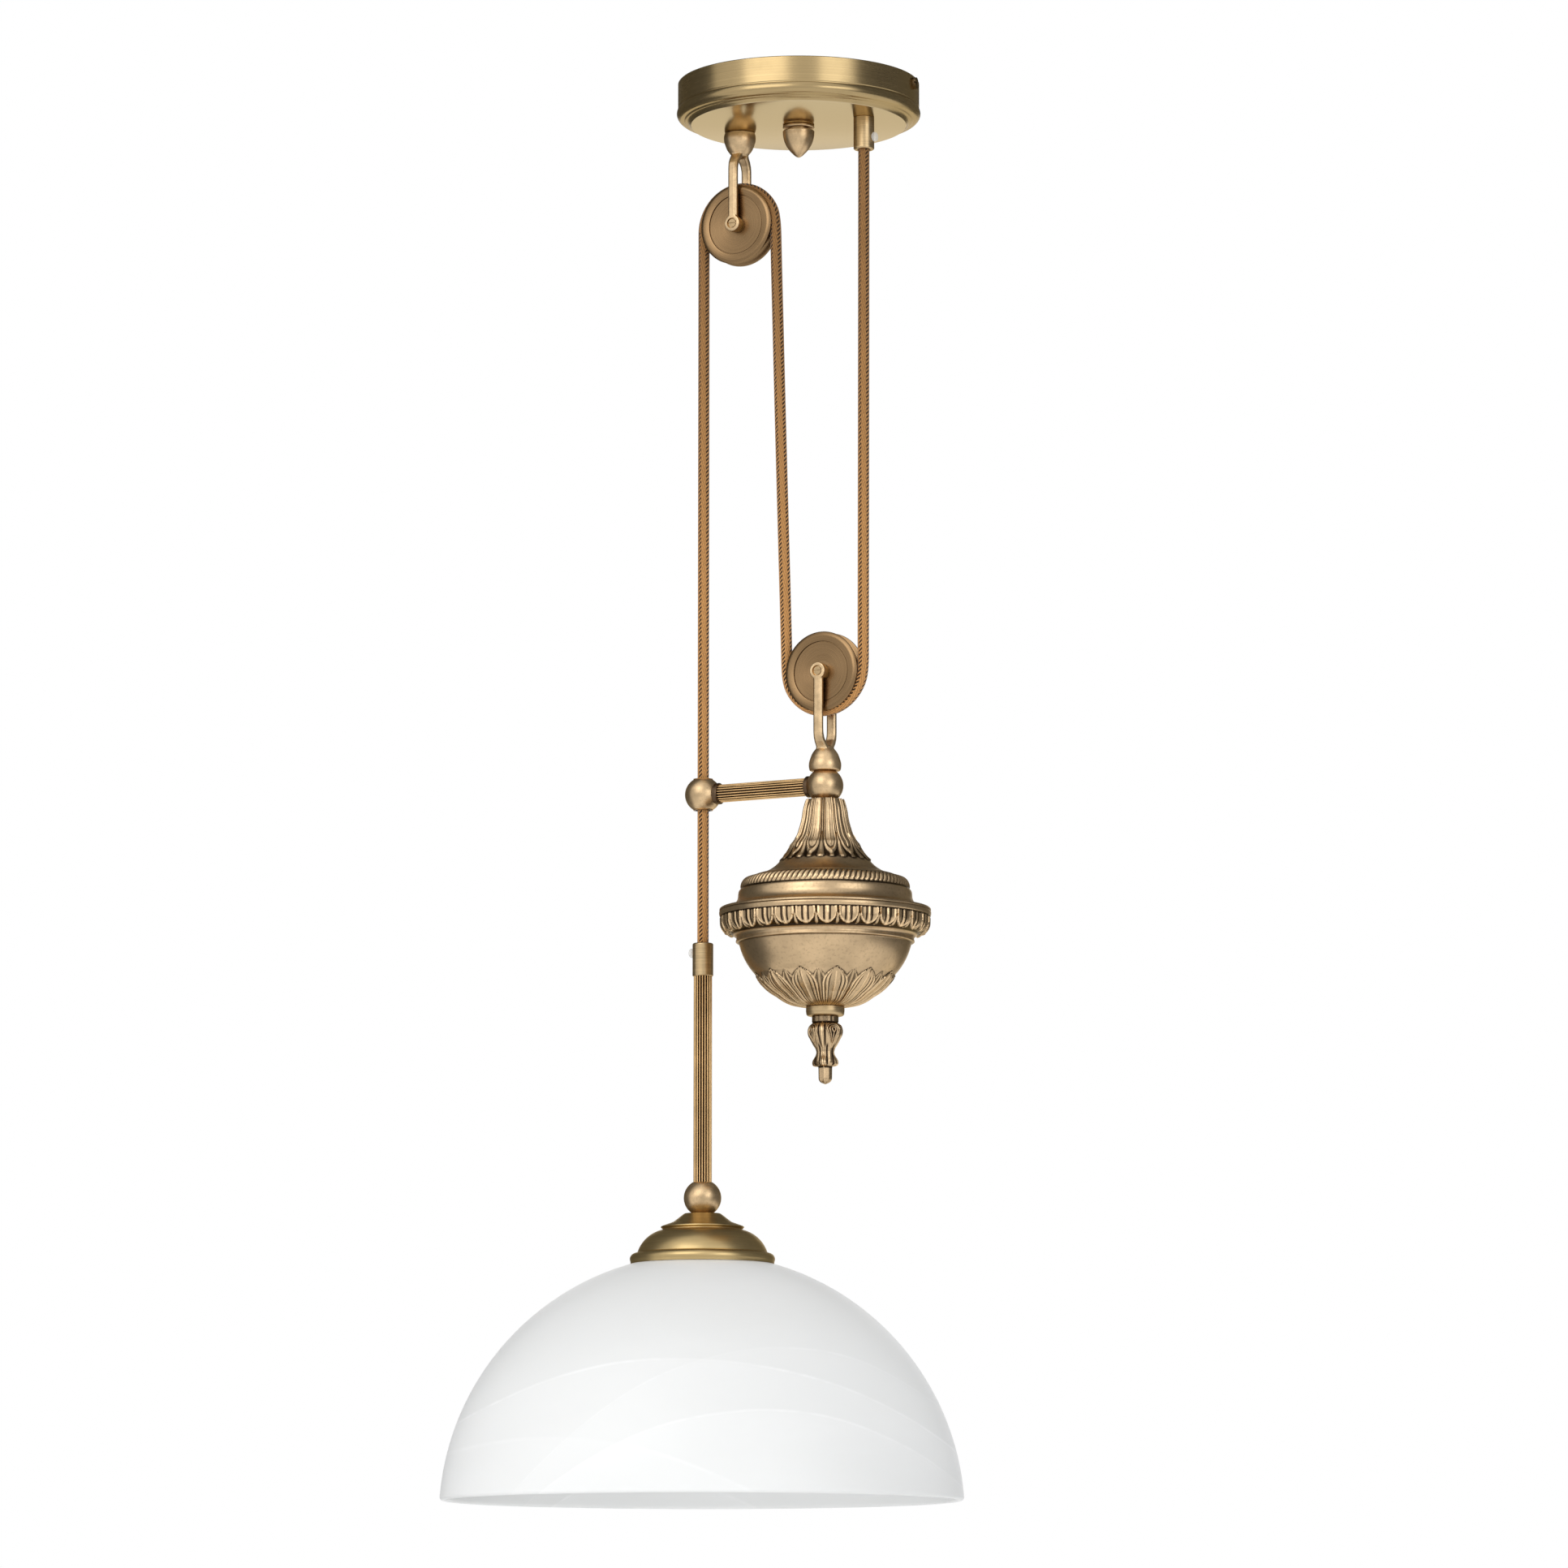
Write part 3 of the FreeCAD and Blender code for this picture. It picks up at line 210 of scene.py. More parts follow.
class Finish:
    """A material whose surface is one Principled shader, and the nodes behind it."""

    def __init__(self, name, **constants):
        self.material = bpy.data.materials.new(name)
        self.material.use_nodes = True
        self.nodes = self.material.node_tree.nodes
        self.links = self.material.node_tree.links
        self.shader = self.nodes["Principled BSDF"]
        for label, value in constants.items():
            self.set(label.replace("_", " "), value)

    def add(self, kind, settings, *values, output=0, named=None):
        """Adds a node. settings go on the node, values and links on its sockets in order or by name."""
        node = self.nodes.new(kind)
        for key, value in settings.items():
            if key == "stops":
                while len(node.color_ramp.elements) < len(value):
                    node.color_ramp.elements.new(0.5)
                for element, (position, colour) in zip(node.color_ramp.elements, value):
                    element.position = position
                    element.color = tuple(colour) + (1.0,)
            else:
                setattr(node, key, value)
        for socket, value in zip(node.inputs, values):
            self.put(socket, value)
        for label, value in (named or {}).items():
            self.put(node.inputs[label], value)
        return Socket(self, node.outputs[output])

    def put(self, socket, value):
        """Links a Socket, or sets a number or colour."""
        if isinstance(value, Socket):
            self.links.new(value.out, socket)
        elif value is not None:
            if socket.type == "RGBA" and len(value) == 3:
                value = tuple(value) + (1.0,)
            socket.default_value = value

    def set(self, label, value):
        """Sets or links one of the shader's own sockets."""
        self.put(self.shader.inputs[label], value)

    def place(self):
        """Object coordinates, in metres."""
        return self.add("ShaderNodeTexCoord", {}, output=3)

    def moved(self, vector, location):
        return self.add("ShaderNodeMapping", {}, vector, tuple(location))

    def noise(self, vector, scale, detail=3.0, roughness=0.55):
        return self.add("ShaderNodeTexNoise", {}, named={
            "Vector": vector, "Scale": scale, "Detail": detail, "Roughness": roughness})

    def mix(self, factor, low, high):
        node = self.nodes.new("ShaderNodeMix")
        node.data_type = "RGBA"
        self.put(node.inputs[0], factor)
        self.put(node.inputs[6], low)
        self.put(node.inputs[7], high)
        return Socket(self, node.outputs[2])

    def parts(self, vector):
        """The three numbers of a vector."""
        node = self.nodes.new("ShaderNodeSeparateXYZ")
        self.put(node.inputs[0], vector)
        return [Socket(self, out) for out in node.outputs]

    def joined(self, x, y, z):
        return self.add("ShaderNodeCombineXYZ", {}, x, y, z)

    def bump(self, height, strength, distance):
        self.set("Normal", self.add("ShaderNodeBump", {}, named={
            "Strength": strength, "Distance": distance, "Height": height}))


def scaled(colour, factor):
    """A lighter or darker colour."""
    return tuple(min(1.0, c * factor) for c in colour)


def polar(finish, centre, axis):
    """Distance from the axis, the angle round it and the place along it, for rings of brushing."""
    x, y, z = finish.parts(finish.moved(finish.place(), [-c for c in centre]))
    across, up, along = {"X": (y, z, x), "Y": (x, z, y), "Z": (x, y, z)}[axis]
    radius = finish.add("ShaderNodeMath", {"operation": "SQRT"}, across * across + up * up)
    angle = finish.add("ShaderNodeMath", {"operation": "ARCTAN2"}, up, across)
    return radius, angle, along


def brushed(name, colour, centre, axis, roughness=0.34, tone=0.20, highlight_fan=0.0, flat=None):
    """Metal brushed in rings about an axis, with fine streaks and soft patina.

    highlight_fan paints a highlight into the colour: a fan of lighter brass round flat faces. flat gives the
    height below which the metal is polished, and the colour that it has there."""
    finish = Finish(name, Metallic=1.0)
    finish.set("Specular Tint", BRASS_EDGE)
    radius, angle, along = polar(finish, centre, axis)
    streaks = finish.noise(finish.joined(radius * 7000, along * 7000, angle * 1.2), 1.0, detail=2.0)
    coarse = finish.noise(finish.joined(radius * 1900, along * 1900, angle * 0.25), 1.0, detail=1.0)
    patina = finish.noise(finish.place(), 60.0, detail=3.0)
    light = scaled(colour, 1 + tone)
    dark = scaled(colour, 1 - tone)
    both = (streaks * 0.55 + coarse * 0.45).ramp(0.28, 0.72)
    # Painted highlight: a fan of lighter colour round the axis.
    if highlight_fan:
        both = both * (1 - highlight_fan) + highlight_fan * (((angle * 2 + 0.9).sine() + 1) * 0.5) ** 2
    base = finish.mix(both, dark, light)
    base = finish.mix(patina.ramp(0.50, 0.80) * 0.30, base, scaled(colour, 0.62))
    spread = roughness + (streaks - 0.5) * 0.14 + (patina - 0.5) * 0.10
    if flat:
        height, polished = flat
        below = ((height - along) * 2000).clamped()
        base = finish.mix(below, base, finish.mix(streaks, scaled(polished, 0.95), polished))
        spread = spread * (1 - below) + (0.17 + (patina - 0.5) * 0.04) * below
    finish.set("Base Color", base)
    finish.set("Roughness", spread)
    finish.bump(streaks * 0.6 + coarse * 0.4, 0.03, 0.00004)
    return finish.material


def cast_brass(name, colour, recess):
    """Cast brass with dark patina in the hollows and bright rubbed edges, read from the carving."""
    finish = Finish(name, Metallic=1.0)
    finish.set("Specular Tint", BRASS_EDGE)
    depth = finish.add("ShaderNodeAttribute", {"attribute_name": "relief"}, output=2)
    fine = finish.noise(finish.place(), 1500.0, detail=3.0, roughness=0.6)
    spots = finish.noise(finish.place(), 620.0, detail=2.0)
    cloud = finish.noise(finish.place(), 48.0, detail=4.0)
    level = depth + (fine - 0.5) * 0.18
    bright = scaled(colour, 1.45)
    body = finish.mix(cloud.ramp(0.35, 0.70), scaled(colour, 0.84), scaled(colour, 1.08))
    speckled = finish.mix(spots.ramp(0.52, 0.70) * 0.34, body, scaled(colour, 0.50))
    hollow = finish.mix(level.ramp(0.20, 0.50), recess, speckled)
    finish.set("Base Color", finish.mix(level.ramp(0.74, 0.96), hollow, bright))
    finish.set("Roughness", 0.33 - level.ramp(0.5, 1.0) * 0.06 + (spots - 0.5) * 0.16)
    finish.bump(fine * 0.5 + spots * 0.5, 0.16, 0.00010)
    return finish.material


def cast_smooth(name, colour):
    """Soft tumbled cast brass."""
    finish = Finish(name, Metallic=1.0)
    finish.set("Specular Tint", BRASS_EDGE)
    cloud = finish.noise(finish.place(), 110.0, detail=4.0)
    fine = finish.noise(finish.place(), 1300.0, detail=3.0)
    base = finish.mix(cloud.ramp(0.35, 0.7), scaled(colour, 0.80), scaled(colour, 1.22))
    finish.set("Base Color", finish.mix(fine.ramp(0.5, 0.75) * 0.35, base, scaled(colour, 0.5)))
    finish.set("Roughness", 0.36 + (fine - 0.5) * 0.2 + (cloud - 0.5) * 0.14)
    finish.bump(fine * 0.6 + cloud * 0.5, 0.12, 0.00012)
    return finish.material


def reeded_brass(colour, recess):
    """Golden ribs with gaps painted dark as shade, read from the ribs' own depth, made once."""
    found = bpy.data.materials.get("reeded_brass")
    if found:
        return found
    finish = Finish("reeded_brass", Metallic=1.0)
    finish.set("Specular Tint", BRASS_EDGE)
    depth = finish.add("ShaderNodeAttribute", {"attribute_name": "relief"}, output=2)
    cloud = finish.noise(finish.place(), 60.0, detail=3.0)
    worn = finish.mix(cloud.ramp(0.35, 0.70), scaled(colour, 0.86), scaled(colour, 1.12))
    finish.set("Base Color", finish.mix(depth.ramp(0.45, 0.86), scaled(recess, 0.8), worn))
    finish.set("Roughness", 0.30 + (cloud - 0.5) * 0.12)
    finish.bump(cloud, 0.04, 0.0001)
    return finish.material


def braid(name, colour):
    """Textile braid on the cord's own map, in turns and metres: rows of stitches, strands between."""
    finish = Finish(name, Roughness=0.74, Sheen_Weight=0.25, Sheen_Roughness=0.4)
    finish.set("Specular IOR Level", 0.22)
    around, length, _ = finish.parts(finish.add("ShaderNodeTexCoord", {}, output=2))
    stitch_length = 2.4 * MM
    rise = length / stitch_length
    drift = around - 0.169 - length * 0.243
    row = (drift * (8 * math.pi) + math.pi / 2).sine()
    seam = row.ramp(0.10, 0.55)
    stitch = (((rise + around * 8) * (2 * math.pi)).sine() + 1) * 0.5
    strands = (((rise * 0.5 - around * 16) * (2 * math.pi)).sine() + 1) * 0.5
    thread = finish.noise(finish.joined(around * 60.0, rise * 1.5, around), 3.0, detail=2.0)
    cloud = finish.noise(finish.place(), 45.0, detail=3.0)
    weave = (strands * 0.45 + 0.55) * (1 - seam) + stitch.ramp(0.42, 0.62) * 1.25 * seam
    tone = finish.mix(thread.ramp(0.3, 0.7), scaled(colour, 0.72), scaled(colour, 1.45))
    # Painted shade between the strands: the weave's gaps are darkened towards a twentieth of the cord's
    # colour.
    shade = finish.mix((weave + (cloud - 0.5) * 0.2).ramp(0.05, 0.90), scaled(colour, 0.05), tone)
    # Painted shadow of the canopy: the cord darkens over its last 300 mm below the canopy.
    _, _, height = finish.parts(finish.place())
    canopy_shadow = ((height + 0.30) * 5.0).clamped() * 0.50
    finish.set("Base Color", finish.mix(canopy_shadow, shade, scaled(colour, 0.10)))
    finish.bump(weave + thread * 0.2, 0.8, 0.00035)
    return finish.material


def plain(name, colour, roughness, metallic=0.0, scale=400.0, contrast=0.12, **constants):
    """Even material with a fine mottle in colour, gloss and height."""
    finish = Finish(name, Metallic=metallic, **constants)
    fine = finish.noise(finish.place(), scale, detail=3.0)
    cloud = finish.noise(finish.place(), scale * 0.12, detail=3.0)
    both = (fine * 0.5 + cloud * 0.5).ramp(0.35, 0.65)
    finish.set("Base Color", finish.mix(both, scaled(colour, 1 - contrast), scaled(colour, 1 + contrast)))
    finish.set("Roughness", roughness + (fine - 0.5) * 0.12)
    finish.bump(fine, 0.12, 0.0001)
    return finish.material


def knob_plastic():
    """Clear plastic of the grips' screws, made once."""
    found = bpy.data.materials.get("clear_plastic")
    if found:
        return found
    finish = Finish("clear_plastic", Roughness=0.12, Transmission_Weight=0.55, IOR=1.45)
    cloud = finish.noise(finish.place(), 500.0, detail=2.0)
    finish.set("Base Color", finish.mix(cloud, (0.62, 0.60, 0.55), (0.80, 0.79, 0.75)))
    finish.bump(cloud, 0.1, 0.0001)
    return finish.material


def clouded_glass(name, colour):
    """White glass with a few long, faint, sweeping veins below a smooth skin.

    Each vein is a parabola: the height of its crest, where that lies across the view, its curve, its width
    and its strength, in metres."""
    finish = Finish(name, Roughness=0.34, Subsurface_Weight=0.3, Subsurface_Scale=0.01)
    finish.set("Subsurface Radius", (1.0, 0.95, 0.9))
    finish.set("Specular IOR Level", 0.18)
    x, y, z = finish.parts(finish.place())
    across = (x - LAMP_X) * math.cos(VIEW_BEARING) + y * math.sin(VIEW_BEARING)
    bend = finish.noise(finish.joined(x, y, z * 0.5), 6.0, detail=1.5)
    haze = finish.noise(finish.joined(x, y, z * 2.5), 9.0, detail=4.0)
    fine = finish.noise(finish.joined(x * 0.6, y * 0.6, z * 5.0 + bend), 26.0, detail=3.0)
    veins = None
    for crest, peak, curve, width, strength in (
            (-0.7466, -0.010, 2.0, 0.0011, 0.85), (-0.7755, 0.034, 3.0, 0.0011, 0.75),
            (-0.7400, 0.045, 3.6, 0.0009, 0.45), (-0.7900, -0.090, 2.2, 0.0016, 0.35)):
        offset = across - peak
        path = z - crest + offset * offset * curve + (bend - 0.5) * 0.010
        line = (1 - abs(path) / width).clamped() * (0.35 + fine.ramp(0.35, 0.65) * 0.65)
        glow = (1 + path / 0.022).clamped() * (path * -600).clamped() * 0.34
        vein = (line + glow) * strength
        veins = vein if veins is None else veins + vein
    tone = (veins + haze.ramp(0.45, 0.75) * 0.18).clamped()
    finish.set("Base Color", finish.mix(tone, colour, (0.94, 0.945, 0.95)))
    finish.bump(haze + veins * 0.2, 0.02, 0.0004)
    return finish.material


# ---- Modelling helpers ----
def clear_selection():
    if bpy.context.object and bpy.context.object.mode != "OBJECT":
        bpy.ops.object.mode_set(mode="OBJECT")
    bpy.ops.object.select_all(action="DESELECT")


def activate(piece):
    clear_selection()
    piece.select_set(True)
    bpy.context.view_layer.objects.active = piece


def dress(piece, material, body, *nodes, slot, angle=35):
    """Finishes a piece: smooth shading, its material, the body it moves with and the nodes it stands for."""
    piece.data.materials.clear()
    piece.data.materials.append(material)
    activate(piece)
    bpy.ops.object.shade_smooth_by_angle(angle=math.radians(angle))
    if body:
        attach(piece, body)
    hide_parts(*nodes)


def linked(name, data):
    """A new piece that holds this mesh or curve, in the scene."""
    piece = bpy.data.objects.new(name, data)
    bpy.context.scene.collection.objects.link(piece)
    return piece


def close_up(piece, merge=1e-6, ends=False):
    """Merges doubled corners, fills open ends where asked, and turns every face outwards."""
    activate(piece)
    bpy.ops.object.mode_set(mode="EDIT")
    bpy.ops.mesh.select_all(action="SELECT")
    if merge:
        bpy.ops.mesh.remove_doubles(threshold=merge)
    if ends:
        bpy.ops.mesh.select_all(action="DESELECT")
        bpy.ops.mesh.select_non_manifold()
        bpy.ops.mesh.edge_face_add()
        bpy.ops.mesh.select_all(action="SELECT")
    bpy.ops.mesh.normals_make_consistent(inside=False)
    bpy.ops.object.mode_set(mode="OBJECT")


def move_mesh(piece, x, y, z):
    """Moves a piece's mesh, in metres."""
    piece.data.transform(Matrix.Translation((x, y, z)))


def turn_mesh(piece, angle, axis):
    """Turns a piece's mesh about the origin."""
    piece.data.transform(Matrix.Rotation(angle, 4, axis))


def raised(steps, level, sign=1):
    """Outline steps with their heights counted up from level, or down from it where sign is -1."""
    return [tuple(level + sign * v if i % 2 else v for i, v in enumerate(step)) for step in steps]


def curve_points(steps, count=10):
    """Points of an outline: a step of 2 numbers ends a line, a step of 4 an arc by way of a mid point."""
    points = [steps[0]]
    for step in steps[1:]:
        if len(step) == 2:
            points.append(step)
            continue
        a, b, c = points[-1], step[:2], step[2:]
        d = 2 * (a[0] * (b[1] - c[1]) + b[0] * (c[1] - a[1]) + c[0] * (a[1] - b[1]))
        sq = [p[0] ** 2 + p[1] ** 2 for p in (a, b, c)]
        cx = (sq[0] * (b[1] - c[1]) + sq[1] * (c[1] - a[1]) + sq[2] * (a[1] - b[1])) / d
        cz = (sq[0] * (c[0] - b[0]) + sq[1] * (a[0] - c[0]) + sq[2] * (b[0] - a[0])) / d
        start = math.atan2(a[1] - cz, a[0] - cx)
        middle = (math.atan2(b[1] - cz, b[0] - cx) - start) % (2 * math.pi)
        end = (math.atan2(c[1] - cz, c[0] - cx) - start) % (2 * math.pi)
        if middle > end:
            end -= 2 * math.pi
        reach = math.hypot(a[0] - cx, a[1] - cz)
        for i in range(1, count + 1):
            turn = start + end * i / count
            points.append((cx + reach * math.cos(turn), cz + reach * math.sin(turn)))
    return points


def turned(name, steps, x=0.0, segments=128, close=False, count=10):
    """Piece spun about the upright line at x, from outline steps of (radius, height) in millimetres."""
    outline = curve_points(steps, count)
    mesh = bpy.data.meshes.new(name)
    corners = [(radius * MM, 0.0, height * MM) for radius, height in outline]
    edges = [(i, i + 1) for i in range(len(corners) - 1)]
    if close:
        edges.append((len(corners) - 1, 0))
    mesh.from_pydata(corners, edges, [])
    piece = linked(name, mesh)
    activate(piece)
    bpy.ops.object.mode_set(mode="EDIT")
    bpy.ops.mesh.select_all(action="SELECT")
    bpy.ops.mesh.spin(steps=segments, angle=2 * math.pi, center=(0, 0, 0), axis=(0, 0, 1))
    close_up(piece)
    move_mesh(piece, x, 0, 0)
    return piece


def smooth_step(value, low, high):
    """0 below low, 1 above high, smooth between."""
    t = np.clip((value - low) / (high - low), 0.0, 1.0)
    return t * t * (3 - 2 * t)


def ridge(offset, width):
    """Rounded ridge, 1 on its line and 0 beyond width."""
    return np.clip(1 - (offset / width) ** 2, 0.0, 1.0)


def resampled(outline, rows):
    """An outline's points spaced evenly along it."""
    outline = np.array(outline)
    lengths = np.concatenate([[0], np.cumsum(np.hypot(*np.diff(outline, axis=0).T))])
    along = np.linspace(0, lengths[-1], rows)
    return np.stack([np.interp(along, lengths, outline[:, i]) for i in (0, 1)], 1), along / lengths[-1]


def carved(name, steps, relief, x, segments, rows, inner=(), count=14):
    """Piece of revolution raised by relief(angle, radius, level) in millimetres along its normal.

    relief also gives how bright each place is rubbed, kept on the mesh as the attribute relief."""
    outline, _ = resampled(curve_points(steps, count), rows)
    along = np.gradient(outline, axis=0)
    normal = np.stack([-along[:, 1], along[:, 0]], 1)
    normal /= np.maximum(np.hypot(normal[:, 0], normal[:, 1]), 1e-9)[:, None]
    outer = len(outline)
    if len(inner):
        outline = np.concatenate([outline, np.array(inner), outline[:1]])
        normal = np.concatenate([normal, np.zeros((len(inner) + 1, 2))])
    total = len(outline)
    clear_selection()
    bpy.ops.mesh.primitive_grid_add(x_subdivisions=segments, y_subdivisions=total - 1, size=1.0)
    piece = bpy.context.object
    piece.name = name
    mesh = piece.data
    flat = np.zeros(len(mesh.vertices) * 3)
    mesh.vertices.foreach_get("co", flat)
    flat = flat.reshape(-1, 3)
    column = np.rint((flat[:, 0] + 0.5) * segments).astype(int)
    row = np.rint((0.5 - flat[:, 1]) * (total - 1)).astype(int)
    angle = 2 * math.pi * column / segments
    height, wear_and_shade = relief(angle, outline[row, 0], outline[row, 1])
    edge = np.where((row == 0) | (row >= outer - 1), 0.0, 1.0)
    height = height * edge
    radius = outline[row, 0] + normal[row, 0] * height
    level = outline[row, 1] + normal[row, 1] * height
    places = np.stack([radius * np.cos(angle), radius * np.sin(angle), level], 1) * MM
    places[:, 0] += x
    mesh.vertices.foreach_set("co", places.ravel())
    attribute = mesh.attributes.new("relief", "FLOAT", "POINT")
    attribute.data.foreach_set("value", np.clip(wear_and_shade, 0, 1).astype(np.float32))
    mesh.update()
    close_up(piece, merge=2e-6)
    return piece


def ribbed(name, radius, depth, ribs, length, per_rib=16, rows=3):
    """Reeded tube along Z from 0 to length, with round ribs and narrow gaps, painted dark as shade."""
    half_rib = 0.31
    bpy.ops.mesh.primitive_grid_add(x_subdivisions=ribs * per_rib, y_subdivisions=rows, size=1.0)
    piece = bpy.context.object
    piece.name = name
    mesh = piece.data
    wear_and_shade = []
    for vertex in mesh.vertices:
        share = vertex.co.x + 0.5
        phase = (share * ribs) % 1.0
        crown = math.sqrt(max(0.0, 1 - ((phase - 0.5) / half_rib) ** 2))
        reach = radius - depth + depth * crown
        turn = 2 * math.pi * share
        vertex.co = Vector((reach * math.cos(turn), reach * math.sin(turn), (vertex.co.y + 0.5) * length))
        # Painted shade: the gaps between ribs get low values and the crowns high ones, which darken the gaps
        # through the attribute relief.
        wear_and_shade.append(0.02 + 0.86 * min(1.0, crown * 1.25))
    attribute = mesh.attributes.new("relief", "FLOAT", "POINT")
    attribute.data.foreach_set("value", wear_and_shade)
    close_up(piece, ends=True)
    return piece


def joined_pieces(first, *others):
    """Makes one object of several."""
    activate(first)
    for other in others:
        other.select_set(True)
    bpy.ops.object.join()
    return first


# ---- Cord ----
def cord_tube(name, route, radius, sides=20, step=1.6 * MM):
    """Tube round a smooth NURBS line through chosen points, with a map of turns round and metres along."""
    curve = bpy.data.curves.new(name + "_line", "CURVE")
    curve.dimensions = "3D"
    curve.resolution_u = 24
    spline = curve.splines.new("NURBS")
    spline.points.add(len(route) - 1)
    for control, place in zip(spline.points, route):
        control.co = (place[0] * MM, 0.0, place[1] * MM, 1.0)
    spline.order_u = 3
    spline.use_endpoint_u = True
    holder = linked(name + "_line", curve)
    bpy.context.view_layer.update()
    line = bpy.data.meshes.new_from_object(holder)
    places = np.array([tuple(v.co) for v in line.vertices])
    bpy.data.objects.remove(holder)
    bpy.data.curves.remove(curve)
    lengths = np.concatenate([[0], np.cumsum(np.linalg.norm(np.diff(places, axis=0), axis=1))])
    rings = int(lengths[-1] / step)
    along = np.linspace(0, lengths[-1], rings)
    centre = np.stack([np.interp(along, lengths, places[:, i]) for i in range(3)], 1)
    tangent = np.gradient(centre, axis=0)
    tangent /= np.linalg.norm(tangent, axis=1)[:, None]
    side = np.array([0.0, 1.0, 0.0])
    across = np.cross(tangent, side)
    turn = 2 * math.pi * np.arange(sides) / sides
    ring = np.cos(turn)[None, :, None] * across[:, None, :] + np.sin(turn)[None, :, None] * side
    vertices = (centre[:, None, :] + radius * ring).reshape(-1, 3)
    faces = []
    for i in range(rings - 1):
        for j in range(sides):
            k = (j + 1) % sides
            faces.append((i * sides + j, i * sides + k, (i + 1) * sides + k, (i + 1) * sides + j))
    faces.append(tuple(range(sides))[::-1])
    faces.append(tuple((rings - 1) * sides + j for j in range(sides)))
    mesh = bpy.data.meshes.new(name)
    mesh.from_pydata(vertices.tolist(), [], faces)
    chart = mesh.uv_layers.new(name="cord")
    for polygon in mesh.polygons:
        if len(polygon.vertices) != 4:
            continue
        i, j = divmod(polygon.index, sides)
        corner_turns = (j, j + 1, j + 1, j)
        corner_rows = (i, i, i + 1, i + 1)
        for loop, t, r in zip(polygon.loop_indices, corner_turns, corner_rows):
            chart.data[loop].uv = (t / sides, along[r])
    piece = linked(name, mesh)
    close_up(piece, merge=None)
    return piece, [tuple(p) for p in centre], float(lengths[-1])


def arc_route(centre, radius, start, end, count):
    """Control points of a smooth line that lies on a circle, between two bearings in degrees."""
    step = (end - start) / count
    reach = radius / math.cos(math.radians(step / 2))
    bearings = [math.radians(start + step * (i + 0.5)) for i in range(count)]
    return [(centre[0] + reach * math.cos(b), centre[1] + reach * math.sin(b)) for b in bearings]


# Chosen points of the cord in millimetres, as (x, z): from the canopy's grip round the moving pulley and over
# the fixed one, and from there down to the lamp's grip.
LOWER_LOOP = (17.2, -345.4)
UPPER_LOOP = (-39.3, -82.0)
LOOP_ROUTE = ([(43.2, -30.7), (43.1, -70.0), (42.6, -230.0), (42.25, -330.0)]
              + arc_route(LOWER_LOOP, 25.0, -0.2, -178.4, 8)
              + [(-8.1, -330.0), (-11.5, -220.0), (-14.9, -100.0)]
              + arc_route(UPPER_LOOP, 24.0, 1.6, 180.0, 8) + [(-63.3, -82.0)])
LAMP_ROUTE = [(-63.3, -82.0), (-63.3, -130.0), (-63.3, -300.0), (-63.3, -470.0), (-63.3, -513.8)]


# ---- Pieces: each group is one operator ----
class PENDANT_OT_cords(bpy.types.Operator):
    """Braid the cord: the loop from the canopy round both pulleys, and the fall to the lamp"""
    bl_idname = "pendant.cords"
    bl_label = "Cords"

    def execute(self, context):
        sizes = context.scene.pendant_sizes
        finish = braid("textile_cord", context.scene.pendant_colours.cord)
        loop, path, length = cord_tube("cord_loop", LOOP_ROUTE, sizes.cord_diameter * BRAID_SWELL / 2)
        dress(loop, finish, None, "cord_canopy_fall", "cord_middle_fall", "cord_upper_loop",
              "cord_lower_loop", slot="textile_cord", angle=60)
        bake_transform(loop)
        fall, path, length = cord_tube("cord_fall", LAMP_ROUTE, sizes.cord_diameter * BRAID_SWELL / 2)
        dress(fall, finish, None, "cord_lamp_fall", slot="textile_cord", angle=60)
        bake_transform(fall)
        return {"FINISHED"}


class PENDANT_OT_canopy(bpy.types.Operator):
    """Spin the canopy, its acorn finial and the cord grip with its clear screw"""
    bl_idname = "pendant.canopy"
    bl_label = "Canopy"

    def execute(self, context):
        colours = context.scene.pendant_colours
        top = DISC_Z / MM
        wall = 1.2
        # The disc under the canopy is polished, and its paler colour is painted reflection.
        finish = brushed("canopy_brass", colours.canopy, (0, 0, 0), "Z", roughness=0.25, tone=0.10,
                         flat=((top + 0.5) * MM, colours.disc))
        dome = turned("canopy_dome", [
            (69.9, 0.0), (70.3, -0.4), (70.3, -14.4), (70.0, -14.8), (70.0, -15.2), (70.4, -15.6),
            (70.7, -16.4), (70.6, -19.6, 67.0, -21.7), (66.4, -22.0), (65.8, -22.4),
            (64.4, -22.9, 63.2, -24.0), (62.7, top + 0.1), (62.2, top), (0.0, top), (0.0, top + wall),
            (61.2, top + wall), (65.2, -21.6, 67.4, -19.2), (69.0, -17.0, 69.1, -14.0), (69.1, 0.0)],
            segments=192, close=True)
        dress(dome, finish, "canopy", "canopy_shell", slot="canopy_brass")
        acorn = turned("acorn", [
            (0.0, top), (8.6, top), (9.2, top - 0.5), (9.2, top - 1.2), (8.8, top - 1.6), (5.7, top - 1.65),
            (5.65, top - 2.9), (8.5, top - 3.0), (9.15, top - 3.35, 9.2, top - 3.9),
            (7.35, top - 11.6, 3.4, top - 16.7), (2.0, top - 18.0, 0.0, top - 19.0)], segments=96)
        dress(acorn, cast_smooth("acorn_brass", colours.bright), "canopy", "acorn_washer", "acorn_finial",
              slot="canopy_brass", angle=28)
        grip = make_grip("canopy_grip", GRIP_X, top, 12.2, 1, -1)
        dress(grip[0], brushed("grip_brass", colours.brass, (GRIP_X, 0, 0), "Z", roughness=0.34), "canopy",
              "canopy_cord_grip", slot="brushed_brass")
        dress(grip[1], knob_plastic(), "canopy", "canopy_grip_screw", slot="clear_plastic")
        return {"FINISHED"}


